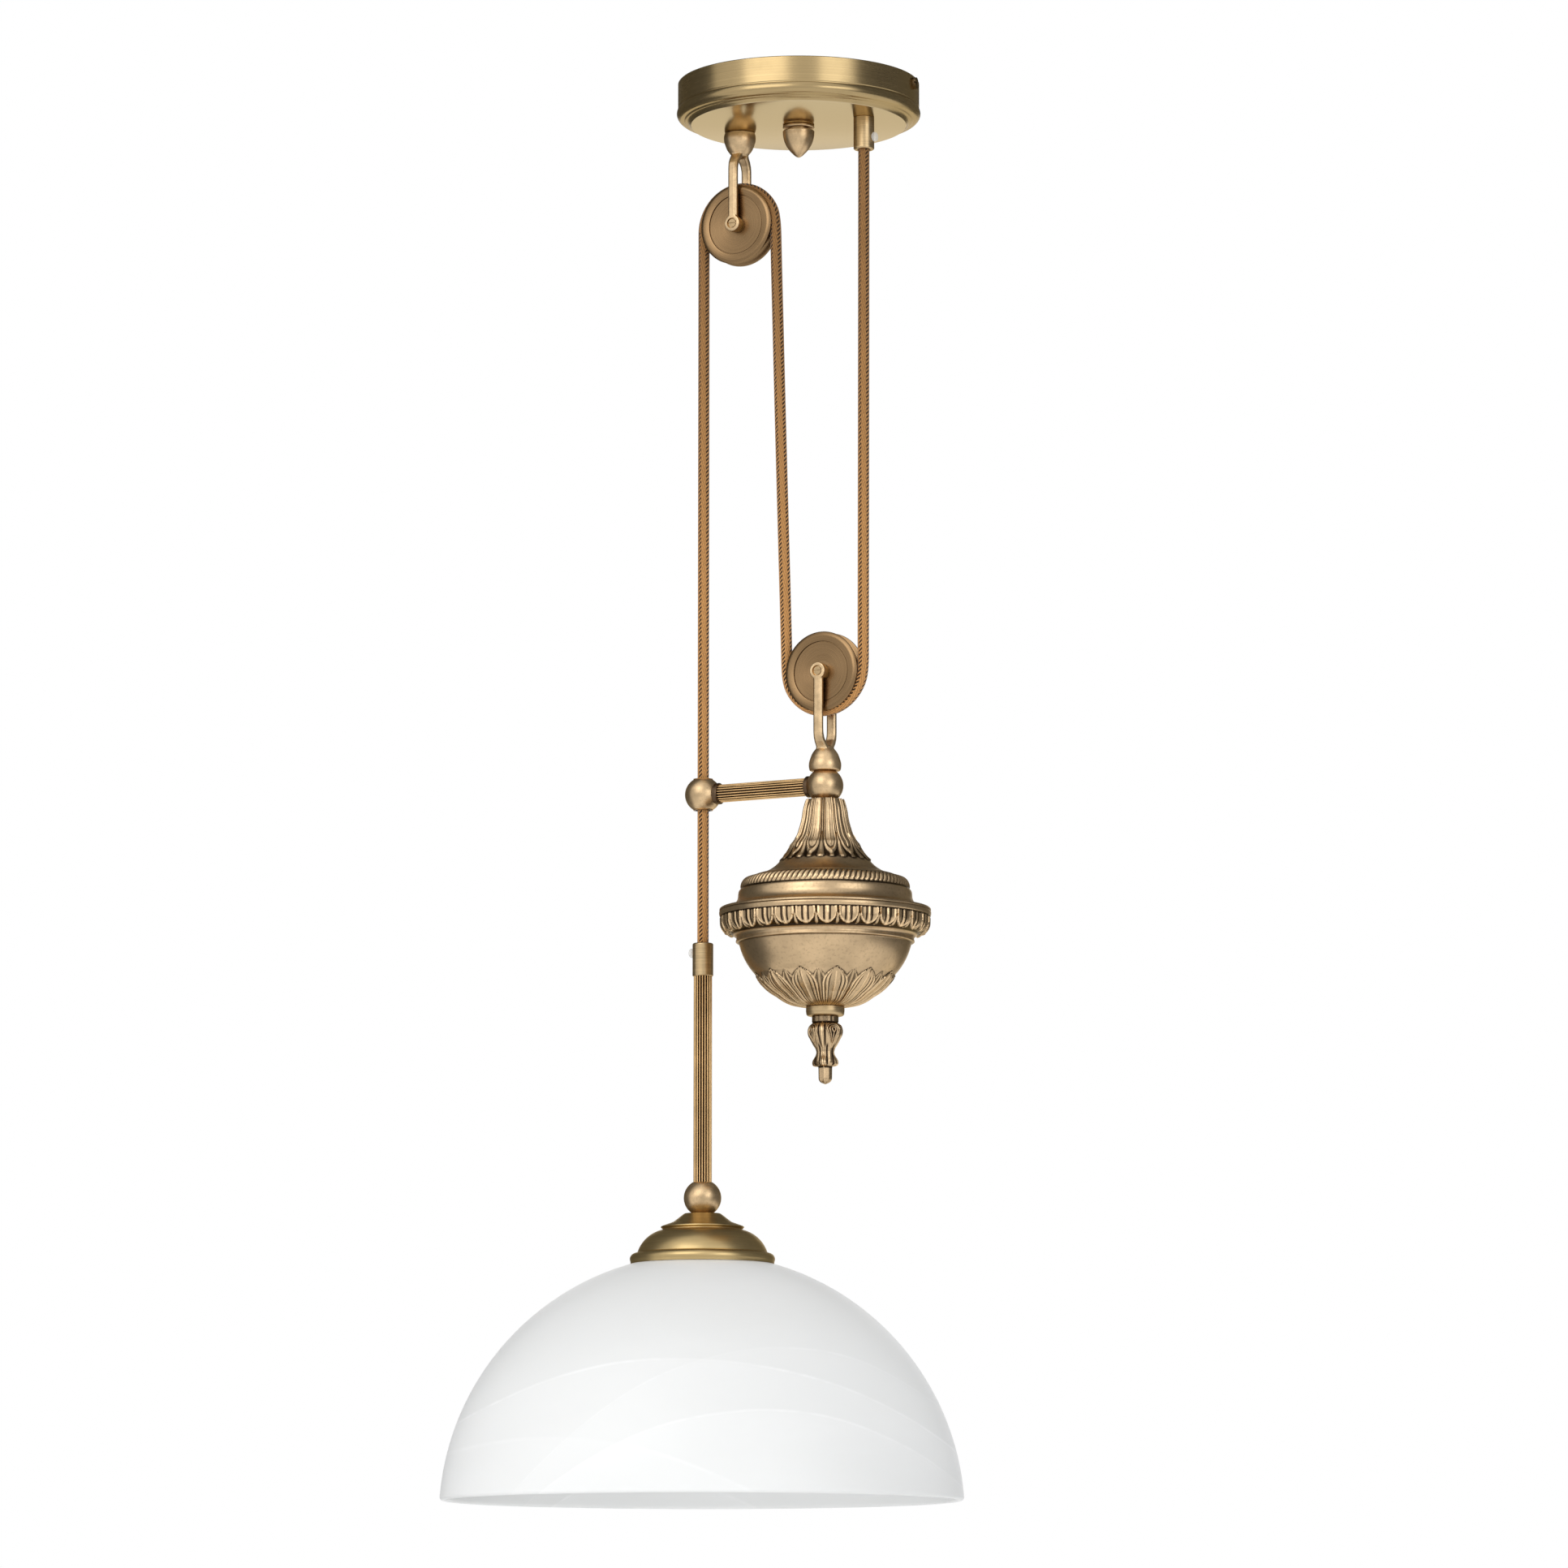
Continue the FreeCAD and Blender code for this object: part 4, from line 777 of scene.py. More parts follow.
def make_grip(name, x, top, screw_drop, side, lip):
    """Cord grip and its screw. lip -1 rounds the foot and 1 the top, and side tells the screw's side."""
    height = 19.2
    radius = 6.0
    outline = [(3.4, 0.0), (5.7, 0.0), (radius, -0.3), (radius, -height + 1.3),
               (5.85, -height + 0.5, 5.0, -height), (3.9, -height), (3.4, -height + 0.6)]
    if lip > 0:
        outline = [(3.4, -height), (5.7, -height), (radius, -height + 0.3), (radius, -1.3),
                   (5.85, -0.5, 5.0, 0.0), (3.9, 0.0), (3.4, -0.6)]
    body = turned(name, raised(outline, top), x=x, segments=96, close=True)
    knob = turned(name + "_knob", [
        (0.0, -3.0), (1.5, -3.0), (1.5, 0.0), (2.2, 0.05), (2.7, 0.6), (2.75, 1.4), (2.3, 2.2, 1.3, 2.45),
        (0.0, 2.5)], segments=48)
    turn_mesh(knob, side * QUARTER, "Y")
    move_mesh(knob, x + side * radius * MM, 0, (top - screw_drop) * MM)
    return body, knob


class PENDANT_OT_pulleys(bpy.types.Operator):
    """Turn the two grooved pulleys and cast their yokes"""
    bl_idname = "pendant.pulleys"
    bl_label = "Pulleys and yokes"

    def execute(self, context):
        sizes = context.scene.pendant_sizes
        colours = context.scene.pendant_colours
        edge = sizes.pulley_radius / MM
        places = (("upper", FIXED_PULLEY, "upper_pulley", "canopy"),
                  ("lower", MOVING_PULLEY, "lower_pulley", "counterweight"))
        for prefix, centre, body, holder in places:
            half = 5.5
            face = [(0.0, 4.1), (3.2, 4.1), (3.4, 4.05), (8.0, 4.25), (14.0, 4.5), (17.1, 4.62), (17.2, 4.35),
                    (17.6, 4.35), (17.8, 4.95), (20.9, half), (21.3, half - 0.05), (edge - 0.45, half - 0.45),
                    (edge - 0.08, half - 0.8), (edge, 4.3), (edge - 0.15, 3.75), (22.3, 3.45)]
            groove = [(18.9, 0.0, 22.3, -3.45)]
            back = [(r, -y) for r, y in reversed(face[:-1])]
            pulley = turned(prefix + "_wheel", face + groove + back, segments=160)
            turn_mesh(pulley, QUARTER, "X")
            move_mesh(pulley, *centre)
            # The pulleys' fan is a painted highlight in their brass.
            finish = brushed(prefix + "_pulley_brass", colours.pulley, centre, "Y", roughness=0.28, highlight_fan=0.5)
            dress(pulley, finish, body, prefix + "_pulley", slot="brushed_brass", angle=30)
            yoke = make_yoke(prefix + "_fork", 55.3 if prefix == "upper" else 57.2)
            if prefix == "upper":
                turn_mesh(yoke, math.pi, "Y")
                base = DISC_Z
            else:
                base = span("top_ball")[1].z
            move_mesh(yoke, centre.x, 0, base)
            metal = cast_smooth(prefix + "_yoke_brass", colours.bright)
            dress(yoke, metal, holder, prefix + "_yoke", slot="brushed_brass", angle=50)
        return {"FINISHED"}


def octagon_bar(name, rows):
    """Bar through level sections given as (y, z, width, thickness), with chamfered corners."""
    cut = 1.1
    vertices = []
    for y, z, width, thick in rows:
        a, b = width / 2, thick / 2
        for u, v in ((a, -b + cut), (a, b - cut), (a - cut, b), (-a + cut, b), (-a, b - cut), (-a, -b + cut),
                     (-a + cut, -b), (a - cut, -b)):
            vertices.append((u * MM, (y + v) * MM, z * MM))
    faces = [tuple(reversed(range(8))), tuple(range(len(vertices) - 8, len(vertices)))]
    for i in range(len(rows) - 1):
        for j in range(8):
            k = (j + 1) % 8
            faces.append((i * 8 + j, i * 8 + k, (i + 1) * 8 + k, (i + 1) * 8 + j))
    mesh = bpy.data.meshes.new(name)
    mesh.from_pydata(vertices, [], faces)
    return linked(name, mesh)


def across_cylinder(radius, front, back, height):
    """Cylinder along Y, sizes in millimetres."""
    clear_selection()
    bpy.ops.mesh.primitive_cylinder_add(vertices=64, radius=radius * MM, depth=(back - front) * MM)
    piece = bpy.context.object
    turn_mesh(piece, QUARTER, "X")
    move_mesh(piece, 0, (front + back) / 2 * MM, height * MM)
    return piece


def cut_away(piece, tool):
    """Takes a tool's shape out of a piece."""
    activate(piece)
    modifier = piece.modifiers.new("cut", "BOOLEAN")
    modifier.object = tool
    modifier.operation = "DIFFERENCE"
    modifier.solver = "EXACT"
    bpy.ops.object.modifier_apply(modifier=modifier.name)
    bpy.data.objects.remove(tool)


def make_yoke(name, height):
    """Yoke standing on z = 0, its eyes at height: a bell foot that flows into two chamfered arms."""
    bell = turned(name, [
        (0.0, 0.0), (8.6, 0.0), (8.9, 0.35), (9.35, 3.6, 8.5, 7.2), (7.4, 10.0, 5.5, 12.6),
        (4.6, 14.0), (0.0, 15.4)], segments=96)
    reach = 8.0
    half_arm = 1.8
    shells = []
    for side in (-1, 1):
        shells.append(octagon_bar("arm", [
            (side * 1.2, 8.0, 8.4, 4.6), (side * 2.2, 11.5, 7.6, 4.4), (side * 3.6, 14.0, 6.8, 4.6),
            (side * 5.6, 16.4, 6.3, 4.8), (side * 7.2, 18.8, 6.0, 4.2), (side * 7.9, 21.6, 5.9, 3.7),
            (side * reach, 24.6, 5.9, 3.6), (side * reach, height, 5.9, 3.6)]))
        shells.append(across_cylinder(4.9, side * reach - half_arm, side * reach + half_arm, height))
    yoke = joined_pieces(bell, *shells)
    activate(yoke)
    yoke.data.remesh_voxel_size = 0.32 * MM
    bpy.ops.object.voxel_remesh()
    soften = yoke.modifiers.new("soften", "SMOOTH")
    soften.factor = 0.5
    soften.iterations = 14
    bpy.ops.object.modifier_apply(modifier=soften.name)
    thin = yoke.modifiers.new("thin", "DECIMATE")
    thin.ratio = 0.35
    bpy.ops.object.modifier_apply(modifier=thin.name)
    cut_away(yoke, across_cylinder(3.1, -11.0, -8.1, height))
    cut_away(yoke, across_cylinder(2.05, -11.0, 11.0, height))
    return yoke


# ---- Carving of the counterweight ----
# Each relief gives heights in millimetres over the plain outline, and how bright each place is rubbed.
# Bearing from the counterweight to the camera, from which the patterns are counted.
FRONT = math.radians(-61.35)

# Bands of the carving, as depths in millimetres below the top of the cover.
NECK_END = 38.0
ROPE_TOP = 44.9
ROPE_FOOT = 51.3
TONGUE_TOP = 67.6
TONGUE_FOOT = 77.3
LEAF_TOP = 99.8
LEAF_FOOT = 118.9


def repeat(angle, count, phase=0.0):
    """Place between repeats: 0 on a repeat's own line, 1 or -1 half way to the next."""
    turn = (angle - FRONT - math.radians(phase)) * count / (2 * math.pi)
    return 2 * (turn - np.round(turn))


def line_at(drop, level, width):
    """Narrow line round the piece, 1 at its level."""
    return np.exp(-((drop - level) / width) ** 2)


def neck_relief(angle, drop, petals):
    """Petals with raised, round-ended outlines and a rib, and pointed darts between them."""
    share = repeat(angle, petals, 9.0)
    side = np.abs(share)
    round_end = np.hypot(side / 0.70, np.clip(drop - 22.5, 0, None) / 9.3)
    edge = ridge(round_end - 1, 0.21)
    rib = ridge(side, 0.15 * np.clip((29.5 - drop) / 7, 0, 1) + 1e-4) * smooth_step(drop, 1, 6)
    inside = round_end < 1
    dart_width = 0.42 * np.clip((drop - 20) / 13.5, 0, 1) ** 0.8 + 1e-4
    dart = np.clip(1 - (1 - side) / dart_width, 0, 1)
    stem_line = ridge(1 - side, 0.10) * (drop < 23)
    tip = ridge(side, 0.24) * smooth_step(drop, 30.5, 32.5)
    outside = ~inside
    height = 0.20 + 0.50 * edge + 0.38 * rib * inside
    height += outside * (-0.22 + 0.72 * dart + 0.36 * stem_line + 0.35 * tip)
    wear_and_shade = np.where(inside, 0.50, 0.10) + 0.50 * edge + 0.45 * rib * inside
    wear_and_shade += outside * (0.75 * dart + 0.45 * stem_line + 0.5 * tip)
    wear_and_shade -= 0.30 * inside * ridge(round_end - 0.80, 0.12)
    zigzag = 34.2 + 1.3 * np.abs(np.cos(math.pi * share)) ** 0.8
    on = smooth_step(zigzag - drop, -0.15, 0.25)
    below = np.exp(-np.clip(drop - zigzag, 0, None) / 0.7) * (1 - on)
    return on * (height + 0.3), on * np.clip(wear_and_shade, 0, 1) + (1 - on) * (0.52 - 0.50 * below)


def rope_relief(angle, drop, strokes):
    """Slanted S-shaped strokes across a rounded band."""
    share = np.clip((drop - ROPE_TOP) / (ROPE_FOOT - ROPE_TOP), 0, 1)
    lean = -1.35 * (share + 0.10 * np.sin(2 * math.pi * share))
    phase = repeat(angle, strokes) / 2 - lean
    crown = np.abs(np.cos(math.pi * phase)) ** 0.75
    fade = smooth_step(share, 0.02, 0.16) * (1 - smooth_step(share, 0.88, 0.99))
    return fade * (0.85 * crown - 0.45), fade * (0.90 * crown) + (1 - fade) * 0.30


def tongue_relief(angle, share, tongues):
    """Hanging tongues with raised rims and a rib, and small drops between them. share runs down the band."""
    place = repeat(angle, tongues, 1.0)
    side = np.abs(place)
    round_end = np.hypot(side / 0.90, np.clip(share - 0.36, 0, None) / 0.58)
    rim = ridge(round_end - 0.93, 0.15)
    inside = round_end < 1
    rib = ridge(side, 0.17 * np.clip((0.92 - share) / 0.5, 0, 1) ** 0.6 + 1e-4)
    drop_shape = ridge(1 - side, 0.05 + 0.15 * np.clip((share - 0.35) / 0.5, 0, 1))
    height = np.where(inside, 0.20 + 0.30 * round_end ** 2, -0.45) + 0.45 * rim + 0.55 * rib * inside
    height += ~inside * 0.85 * drop_shape * smooth_step(share, 0.1, 0.5) * (1 - smooth_step(share, 0.93, 1.0))
    wear_and_shade = np.where(inside, 0.60 - 0.46 * ridge(side - 0.27, 0.15), 0.04) + 0.50 * rim + 0.5 * rib * inside
    wear_and_shade -= inside * 0.20 * ridge(side - 0.62, 0.16) * (1 - share)
    wear_and_shade += ~inside * 0.6 * drop_shape * smooth_step(share, 0.2, 0.6)
    return height, np.clip(wear_and_shade, 0, 1)


def leaf_relief(angle, share, leaves):
    """Broad leaves with doubled outlines and a midrib, small leaves between. share runs to the foot."""
    place = repeat(angle, leaves, 9.5)
    side = np.abs(place)
    grow = np.clip((share - 0.02) / 0.50, 0, 1)
    width = 0.84 * (1 - (1 - grow) ** 2) ** 0.9 + 1e-4
    broad = side / width
    inside = (broad < 1) & (share > 0.02)
    outline = ridge(broad - 0.93, 0.13) * (share > 0.02)
    second = ridge(broad - 0.62, 0.12) * smooth_step(share, 0.10, 0.22)
    midrib = ridge(side, 0.09) * smooth_step(share, 0.04, 0.16)
    small_grow = np.clip((share - 0.05) / 0.34, 0, 1)
    small = (1 - side) / (0.50 * small_grow ** 0.85 + 1e-4)
    small_in = (small < 1) & ~inside & (share > 0.05)
    small_rim = ridge(small - 0.84, 0.22)
    small_rib = ridge(1 - side, 0.07) * smooth_step(share, 0.08, 0.16)
    height = inside * (0.55 - 0.20 * ridge(broad - 0.5, 0.5) + 0.45 * outline + 0.28 * second + 0.42 * midrib)
    height += small_in * (0.18 + 0.40 * small_rim + 0.40 * small_rib)
    wear_and_shade = inside * (0.56 + 0.42 * outline + 0.34 * second + 0.36 * midrib)
    seams = ridge(broad - 0.78, 0.08) + ridge(broad - 0.47, 0.07) * smooth_step(share, 0.1, 0.3)
    wear_and_shade -= inside * 0.42 * seams
    wear_and_shade += small_in * (0.30 + 0.45 * small_rim + 0.40 * small_rib)
    bare = ~inside & ~small_in
    gap = np.minimum(np.clip(broad - 1, 0, None) * width, np.abs(small - 1) * 0.3)
    wear_and_shade = np.where(bare, np.where(share > 0.36, 0.02, 0.50 - 0.46 * np.exp(-gap / 0.07)), wear_and_shade)
    height = np.where(bare & (share > 0.36), -0.45, height)
    fade = 1 - 0.70 * smooth_step(share, 0.86, 1.0)
    return height * fade, np.clip(wear_and_shade, 0, 1)


def finial_relief(angle, drop):
    """Four-sided bulb with ridges and drop-shaped scrolls, a waist, four flared points and a faceted stub."""
    side = np.abs(repeat(angle, 4, -13.0))
    face = 1 - side
    neck = 1 - smooth_step(drop, 3.3, 4.2)
    bulb = smooth_step(drop, 3.8, 6.0) * (1 - smooth_step(drop, 15.5, 19.5))
    waist = smooth_step(drop, 15.0, 19.0) * (1 - smooth_step(drop, 27.4, 29.0))
    stub = smooth_step(drop, 28.6, 29.6)
    ridge_line = ridge(side, 0.11) * (1 - neck)
    eye_drop = 8.0
    below = np.clip(drop - eye_drop, 0, None)
    spread = 0.60 * np.clip(1 - below / 9.5, 0.02, 1)
    reach = np.hypot(face / spread, np.clip(eye_drop - drop, 0, None) / 3.6)
    reach = np.where(below > 9.0, 2.0, reach)
    scroll = bulb * (reach < 1.08)
    rings = ridge(reach - 0.92, 0.14) + ridge(reach - 0.58, 0.13)
    ring = np.hypot(face / 0.17, (drop - eye_drop) / 1.5)
    eye = np.clip(1 - ring / 0.55, 0, 1)
    knob = ridge(ring - 0.85, 0.30) * bulb
    tail = ridge(face, 0.06) * (drop > eye_drop + 1.5) * bulb
    groove = ridge(side - 0.26, 0.09) * bulb
    points = ridge(side, 0.60) * smooth_step(drop, 21.0, 26.6) * (1 - smooth_step(drop, 27.2, 29.2))
    panel = waist * ridge(face, 0.42) * (1 - smooth_step(drop, 25.0, 27.0))
    facet = stub * (1 / np.cos((face - 0.5) * math.pi / 2.6) - 1.12) * 1.6
    beads = neck * (0.35 * np.abs(np.sin(repeat(angle, 11) * math.pi / 2)) - 0.2)
    height = 0.45 * ridge_line * (bulb + waist) + scroll * (0.55 * rings - 0.3) + 0.5 * knob
    height -= 0.8 * eye * bulb
    height += 0.3 * tail - 0.5 * groove + 1.5 * points + 0.35 * panel - 0.3 * waist + facet + beads
    wear_and_shade = 0.46 + 0.50 * ridge_line * (1 - 0.5 * stub) + scroll * (0.42 * rings - 0.26) + 0.45 * knob
    wear_and_shade += 0.3 * tail - 0.5 * eye * bulb - 0.38 * groove + 0.30 * points
    wear_and_shade += waist * (0.25 * ridge(face, 0.30) - 0.42 * ridge(side - 0.52, 0.16)) - 0.12 * neck * (1 - beads)
    wear_and_shade -= 0.35 * line_at(drop, 29.2, 0.5) + 0.3 * line_at(drop, 3.9, 0.5)
    return height, np.clip(wear_and_shade, 0, 1)


class PENDANT_OT_counterweight(bpy.types.Operator):
    """Cast the counterweight: petalled cover with a rope ring, bowl of tongues and leaves, collar, finial"""
    bl_idname = "pendant.counterweight"
    bl_label = "Counterweight"

    def execute(self, context):
        sizes = context.scene.pendant_sizes
        colours = context.scene.pendant_colours
        finish = cast_brass("cast_brass", colours.cast, colours.recess)
        top = NECK_TOP / MM

        def cover_relief(angle, radius, level):
            drop = top - level
            neck = neck_relief(angle, drop, sizes.petals)
            rope = rope_relief(angle, drop, sizes.rope_strokes)
            bare = (np.zeros_like(angle), np.full_like(angle, 0.52))
            dark = line_at(drop, 51.9, 0.35) + 0.8 * line_at(drop, 64.05, 0.18)
            on_rope = (drop > ROPE_TOP) & (drop < ROPE_FOOT)
            out = [np.where(drop < NECK_END, n, np.where(on_rope, r, b)) for n, r, b in zip(neck, rope, bare)]
            inner = level < SEAM_Z / MM + 0.02
            bright = 0.35 * line_at(drop, 44.4, 0.30) + 0.30 * line_at(drop, 62.9, 0.4)
            return np.where(inner, 0, out[0]), out[1] - 0.45 * dark + bright

        outline = raised([
            (9.6, 0.0), (10.3, 0.15), (11.3, 3.6, 12.1, 7.2), (12.9, 12.2, 14.2, 16.8),
            (16.1, 21.8, 19.2, 26.0), (22.0, 31.2, 25.9, 35.3), (31.0, 39.9, 39.6, 43.4), (40.9, 43.8),
            (41.6, 44.2), (41.8, 44.8), (45.6, 45.6, 48.2, 50.6), (48.3, 51.3), (48.6, 51.6), (48.6, 52.0),
            (49.2, 52.3), (49.7, 53.4), (49.9, 55.3), (51.3, 59.4, 56.0, 61.6), (59.9, 62.5), (60.4, 62.8),
            (60.6, 63.3), (60.6, 63.95), (60.35, 64.15)], top, -1)
        hollow = raised([(57.0, 64.2), (50.0, 60.0), (46.0, 54.0), (38.0, 47.5), (4.2, 45.0), (4.2, 0.0)],
                        top, -1)
        cover = carved("urn_cover", outline, cover_relief, URN_X, 720, 132, inner=hollow)
        dress(cover, finish, "counterweight", "top_cover", slot="cast_brass", angle=70)

        def bowl_relief(angle, radius, level):
            drop = top - level
            tongue = tongue_relief(angle, (drop - TONGUE_TOP) / (TONGUE_FOOT - TONGUE_TOP), sizes.tongues)
            leaf_share = np.clip((drop - LEAF_TOP) / (LEAF_FOOT - LEAF_TOP), 0, 1)
            leaf = leaf_relief(angle, leaf_share, sizes.leaves)
            in_tongue = (drop > TONGUE_TOP) & (drop < TONGUE_FOOT)
            in_leaf = drop > LEAF_TOP
            dark = line_at(drop, 67.5, 0.30) + line_at(drop, 77.6, 0.35)
            dark += 0.6 * line_at(drop, 82.6, 0.35) + 0.6 * line_at(drop, 64.35, 0.15)
            bright = 0.40 * line_at(drop, 81.7, 0.35) + 0.15 * ((drop > 64.5) & (drop < 66.8))
            height = np.where(in_tongue, tongue[0], np.where(in_leaf, leaf[0], 0.0))
            wear_and_shade = np.where(in_tongue, tongue[1], np.where(in_leaf, leaf[1], 0.50))
            return height, wear_and_shade - 0.45 * dark + bright

        outline = raised([
            (60.3, 64.2), (60.6, 64.4), (60.7, 65.6, 60.4, 67.0), (59.9, 67.5), (59.5, 67.7), (59.4, 71.4),
            (58.4, 74.3, 53.9, 77.2), (53.2, 77.7), (52.0, 78.4), (50.9, 79.9, 51.1, 81.2), (51.3, 81.7),
            (51.0, 82.2), (49.4, 82.5), (45.9, 92.2, 39.9, 100.6), (34.6, 107.3, 27.6, 112.3),
            (20.6, 116.6, 12.0, LEAF_FOOT)], top, -1)
        hollow = raised([(4.2, LEAF_FOOT), (4.2, 112.0), (30.0, 101.8), (46.3, 82.0), (46.3, 64.2)], top, -1)
        bowl = carved("urn_bowl", outline, bowl_relief, URN_X, 720, 134, inner=hollow)
        dress(bowl, finish, "counterweight", "lower_bowl", slot="cast_brass", angle=70)

        foot = BOWL_FOOT / MM
        collar = turned("urn_ring", [
            (4.2, foot), (10.6, foot), (11.0, foot - 0.4), (11.05, foot - 2.6), (10.8, foot - 4.6),
            (10.2, foot - 5.3), (9.2, foot - 5.6), (4.2, foot - 5.6)], x=URN_X, close=True)
        dress(collar, brushed("collar_brass", colours.brass, (URN_X, 0, 0), "Z", roughness=0.36),
              "counterweight", "urn_collar", slot="cast_brass")

        seat = COLLAR_FOOT / MM

        def tip_relief(angle, radius, level):
            height, wear_and_shade = finial_relief(angle, seat - level)
            return height * np.clip(radius / 3.0, 0, 1), wear_and_shade

        outline = raised([
            (0.0, 0.0), (7.0, 0.0), (7.5, 0.3), (7.5, 3.3), (7.2, 3.9), (9.9, 8.2, 8.9, 12.2),
            (7.1, 15.6, 5.6, 18.4), (5.1, 20.4), (5.4, 23.4), (6.0, 26.2), (6.0, 27.2), (5.2, 28.2),
            (4.1, 28.9), (3.9, 29.6), (3.8, 35.2), (3.3, 37.0, 1.8, 38.2), (0.0, 39.0)], seat, -1)
        finial = carved("urn_tip", outline, tip_relief, URN_X, 360, 230)
        dress(finial, finish, "counterweight", "urn_finial", slot="cast_brass", angle=70)
        return {"FINISHED"}


class PENDANT_OT_guide(bpy.types.Operator):
    """Turn the guide arm, its balls and its sockets"""
    bl_idname = "pendant.guide"
    bl_label = "Guide arm"

    def execute(self, context):
        colours = context.scene.pendant_colours
        radius = context.scene.pendant_sizes.ball_radius / MM
        finish = cast_smooth("ball_brass", colours.bright)
        balls = (("guide_knuckle", "guide_ball", 9.2, 5.4, LAMP_X),
                 ("urn_knuckle", "top_ball", 8.5, 4.1, URN_X))
        for name, node, flat, bore, x in balls:
            rim = math.sqrt(radius ** 2 - flat ** 2)
            ball = turned(name, [
                (bore, flat - 0.4), (bore + 0.4, flat - 0.05), (rim - 0.35, flat), (rim + 0.15, flat - 0.25),
                (radius, 0.0, rim + 0.15, -flat + 0.25), (rim - 0.35, -flat), (bore + 0.4, -flat + 0.05),
                (bore, -flat + 0.4)], close=True, count=36)
            move_mesh(ball, x, 0, BALL_Z)
            dress(ball, finish, "counterweight", node, slot="brushed_brass", angle=40)
        dark = brushed("dark_bronze", (0.115, 0.075, 0.045), (0, 0, BALL_Z), "X", roughness=0.38)
        low, high, _ = span("arm_sockets")
        width = 3.1
        for name, start in (("socket_left", low.x), ("socket_right", high.x - width * MM)):
            ring = turned(name, [
                (3.2, 0.0), (5.7, 0.0), (6.2, 0.5), (6.2, width - 0.5), (5.7, width), (3.2, width)],
                segments=96, close=True)
            turn_mesh(ring, QUARTER, "Y")
            move_mesh(ring, start, 0, BALL_Z)
            dress(ring, dark, "counterweight", "arm_sockets", slot="dark_brass")
        low, high, _ = span("guide_arm")
        arm = ribbed("reeded_arm", 5.2 * MM, 0.9 * MM, 20, high.x - low.x)
        turn_mesh(arm, QUARTER, "Y")
        move_mesh(arm, low.x, 0, BALL_Z)
        dress(arm, reeded_brass(colours.reeded, colours.recess), "counterweight", "guide_arm",
              slot="cast_brass", angle=70)
        return {"FINISHED"}


class PENDANT_OT_lamp(bpy.types.Operator):
    """Build the lamp: cord grip, reeded stem, ball, spun gallery and the clouded glass dome"""
    bl_idname = "pendant.lamp"
    bl_label = "Lamp"

    def execute(self, context):
        sizes = context.scene.pendant_sizes
        colours = context.scene.pendant_colours
        grip = make_grip("lamp_grip", LAMP_X, span("lamp_cord_grip")[1].z / MM, 5.5, -1, 1)
        dress(grip[0], brushed("lamp_grip_brass", colours.brass, (LAMP_X, 0, 0), "Z", roughness=0.33), "lamp",
              "lamp_cord_grip", slot="brushed_brass")
        dress(grip[1], knob_plastic(), "lamp", "lamp_grip_screw", slot="clear_plastic")
        low, high, _ = span("reeded_stem")
        stem = ribbed("reeded_rod", 5.3 * MM, 0.9 * MM, 20, high.z - low.z)
        move_mesh(stem, LAMP_X, 0, low.z)
        dress(stem, reeded_brass(colours.reeded, colours.recess), "lamp", "reeded_stem",
              slot="cast_brass", angle=70)
        ball_radius = 10.8
        flat = 9.0
        rim = math.sqrt(ball_radius ** 2 - flat ** 2)
        knob = turned("lamp_knuckle", raised([
            (4.2, flat - 0.1), (rim - 0.3, flat), (rim + 0.15, flat - 0.25),
            (ball_radius, 0.0, rim + 0.15, 0.25 - flat), (rim - 0.3, -flat), (4.2, 0.1 - flat)],
            span("lamp_ball")[2].z / MM), x=LAMP_X, close=True, count=36)
        dress(knob, cast_smooth("lamp_ball_brass", colours.bright), "lamp", "lamp_ball",
              slot="brushed_brass", angle=40)
        top = GALLERY_TOP / MM
        foot = GALLERY_FOOT / MM
        gallery = turned("spun_gallery", raised([
            (4.3, 0.0), (10.4, 0.0), (11.0, 0.35), (16.9, 4.9), (22.8, 7.0), (23.8, 7.45), (24.0, 7.95),
            (23.5, 8.5), (22.9, 8.9), (23.1, 9.4), (33.6, 15.6, 37.4, 22.4), (37.3, 22.75), (37.9, 22.95),
            (41.3, 24.6, 41.4, 27.6), (41.25, top - foot), (40.1, top - foot), (40.1, 27.0), (36.2, 23.4),
            (32.4, 17.0, 22.0, 10.2), (9.9, 1.2), (4.3, 1.2)], top, -1),
            x=LAMP_X, segments=192, close=True, count=16)
        finish = brushed("gallery_brass", colours.gallery, (LAMP_X, 0, 0), "Z", roughness=0.34, tone=0.14)
        dress(gallery, finish, "lamp", "gallery", slot="canopy_brass", angle=25)
        radius = sizes.glass_radius / MM
        wall = sizes.glass_wall / MM
        rim_z = SHADE_RIM / MM
        # The dome's sphere meets the gallery's foot where both are this wide.
        seat_radius = 41.2
        hole_radius = 30.0
        lip_height = 2.0
        centre = foot - 0.25 - math.sqrt(radius ** 2 - seat_radius ** 2)

        def dome_arc(reach, count):
            """Points of one side of the glass, from the hole in its top down to its lip."""
            start = math.atan2(math.sqrt(reach ** 2 - hole_radius ** 2), hole_radius)
            drop = rim_z + lip_height - centre
            end = math.atan2(drop, math.sqrt(reach ** 2 - drop ** 2))
            turns = np.linspace(start, end, count)
            return [(reach * math.cos(t), centre + reach * math.sin(t)) for t in turns]

        outside = dome_arc(radius, 90)
        inside = dome_arc(radius - wall, 80)
        outer, inner = outside[-1][0], inside[-1][0]
        lip = [(outer - 0.25, rim_z + 1.0), (outer - 0.9, rim_z + 0.25), ((outer + inner) / 2, rim_z),
               (inner + 0.9, rim_z + 0.25), (inner + 0.25, rim_z + 1.0)]
        glass = turned("glass_dome", outside + lip + inside[::-1], x=LAMP_X, segments=256, close=True)
        dress(glass, clouded_glass("alabaster_glass", colours.glass), "lamp", "glass_shade",
              slot="alabaster_glass", angle=60)
        return {"FINISHED"}


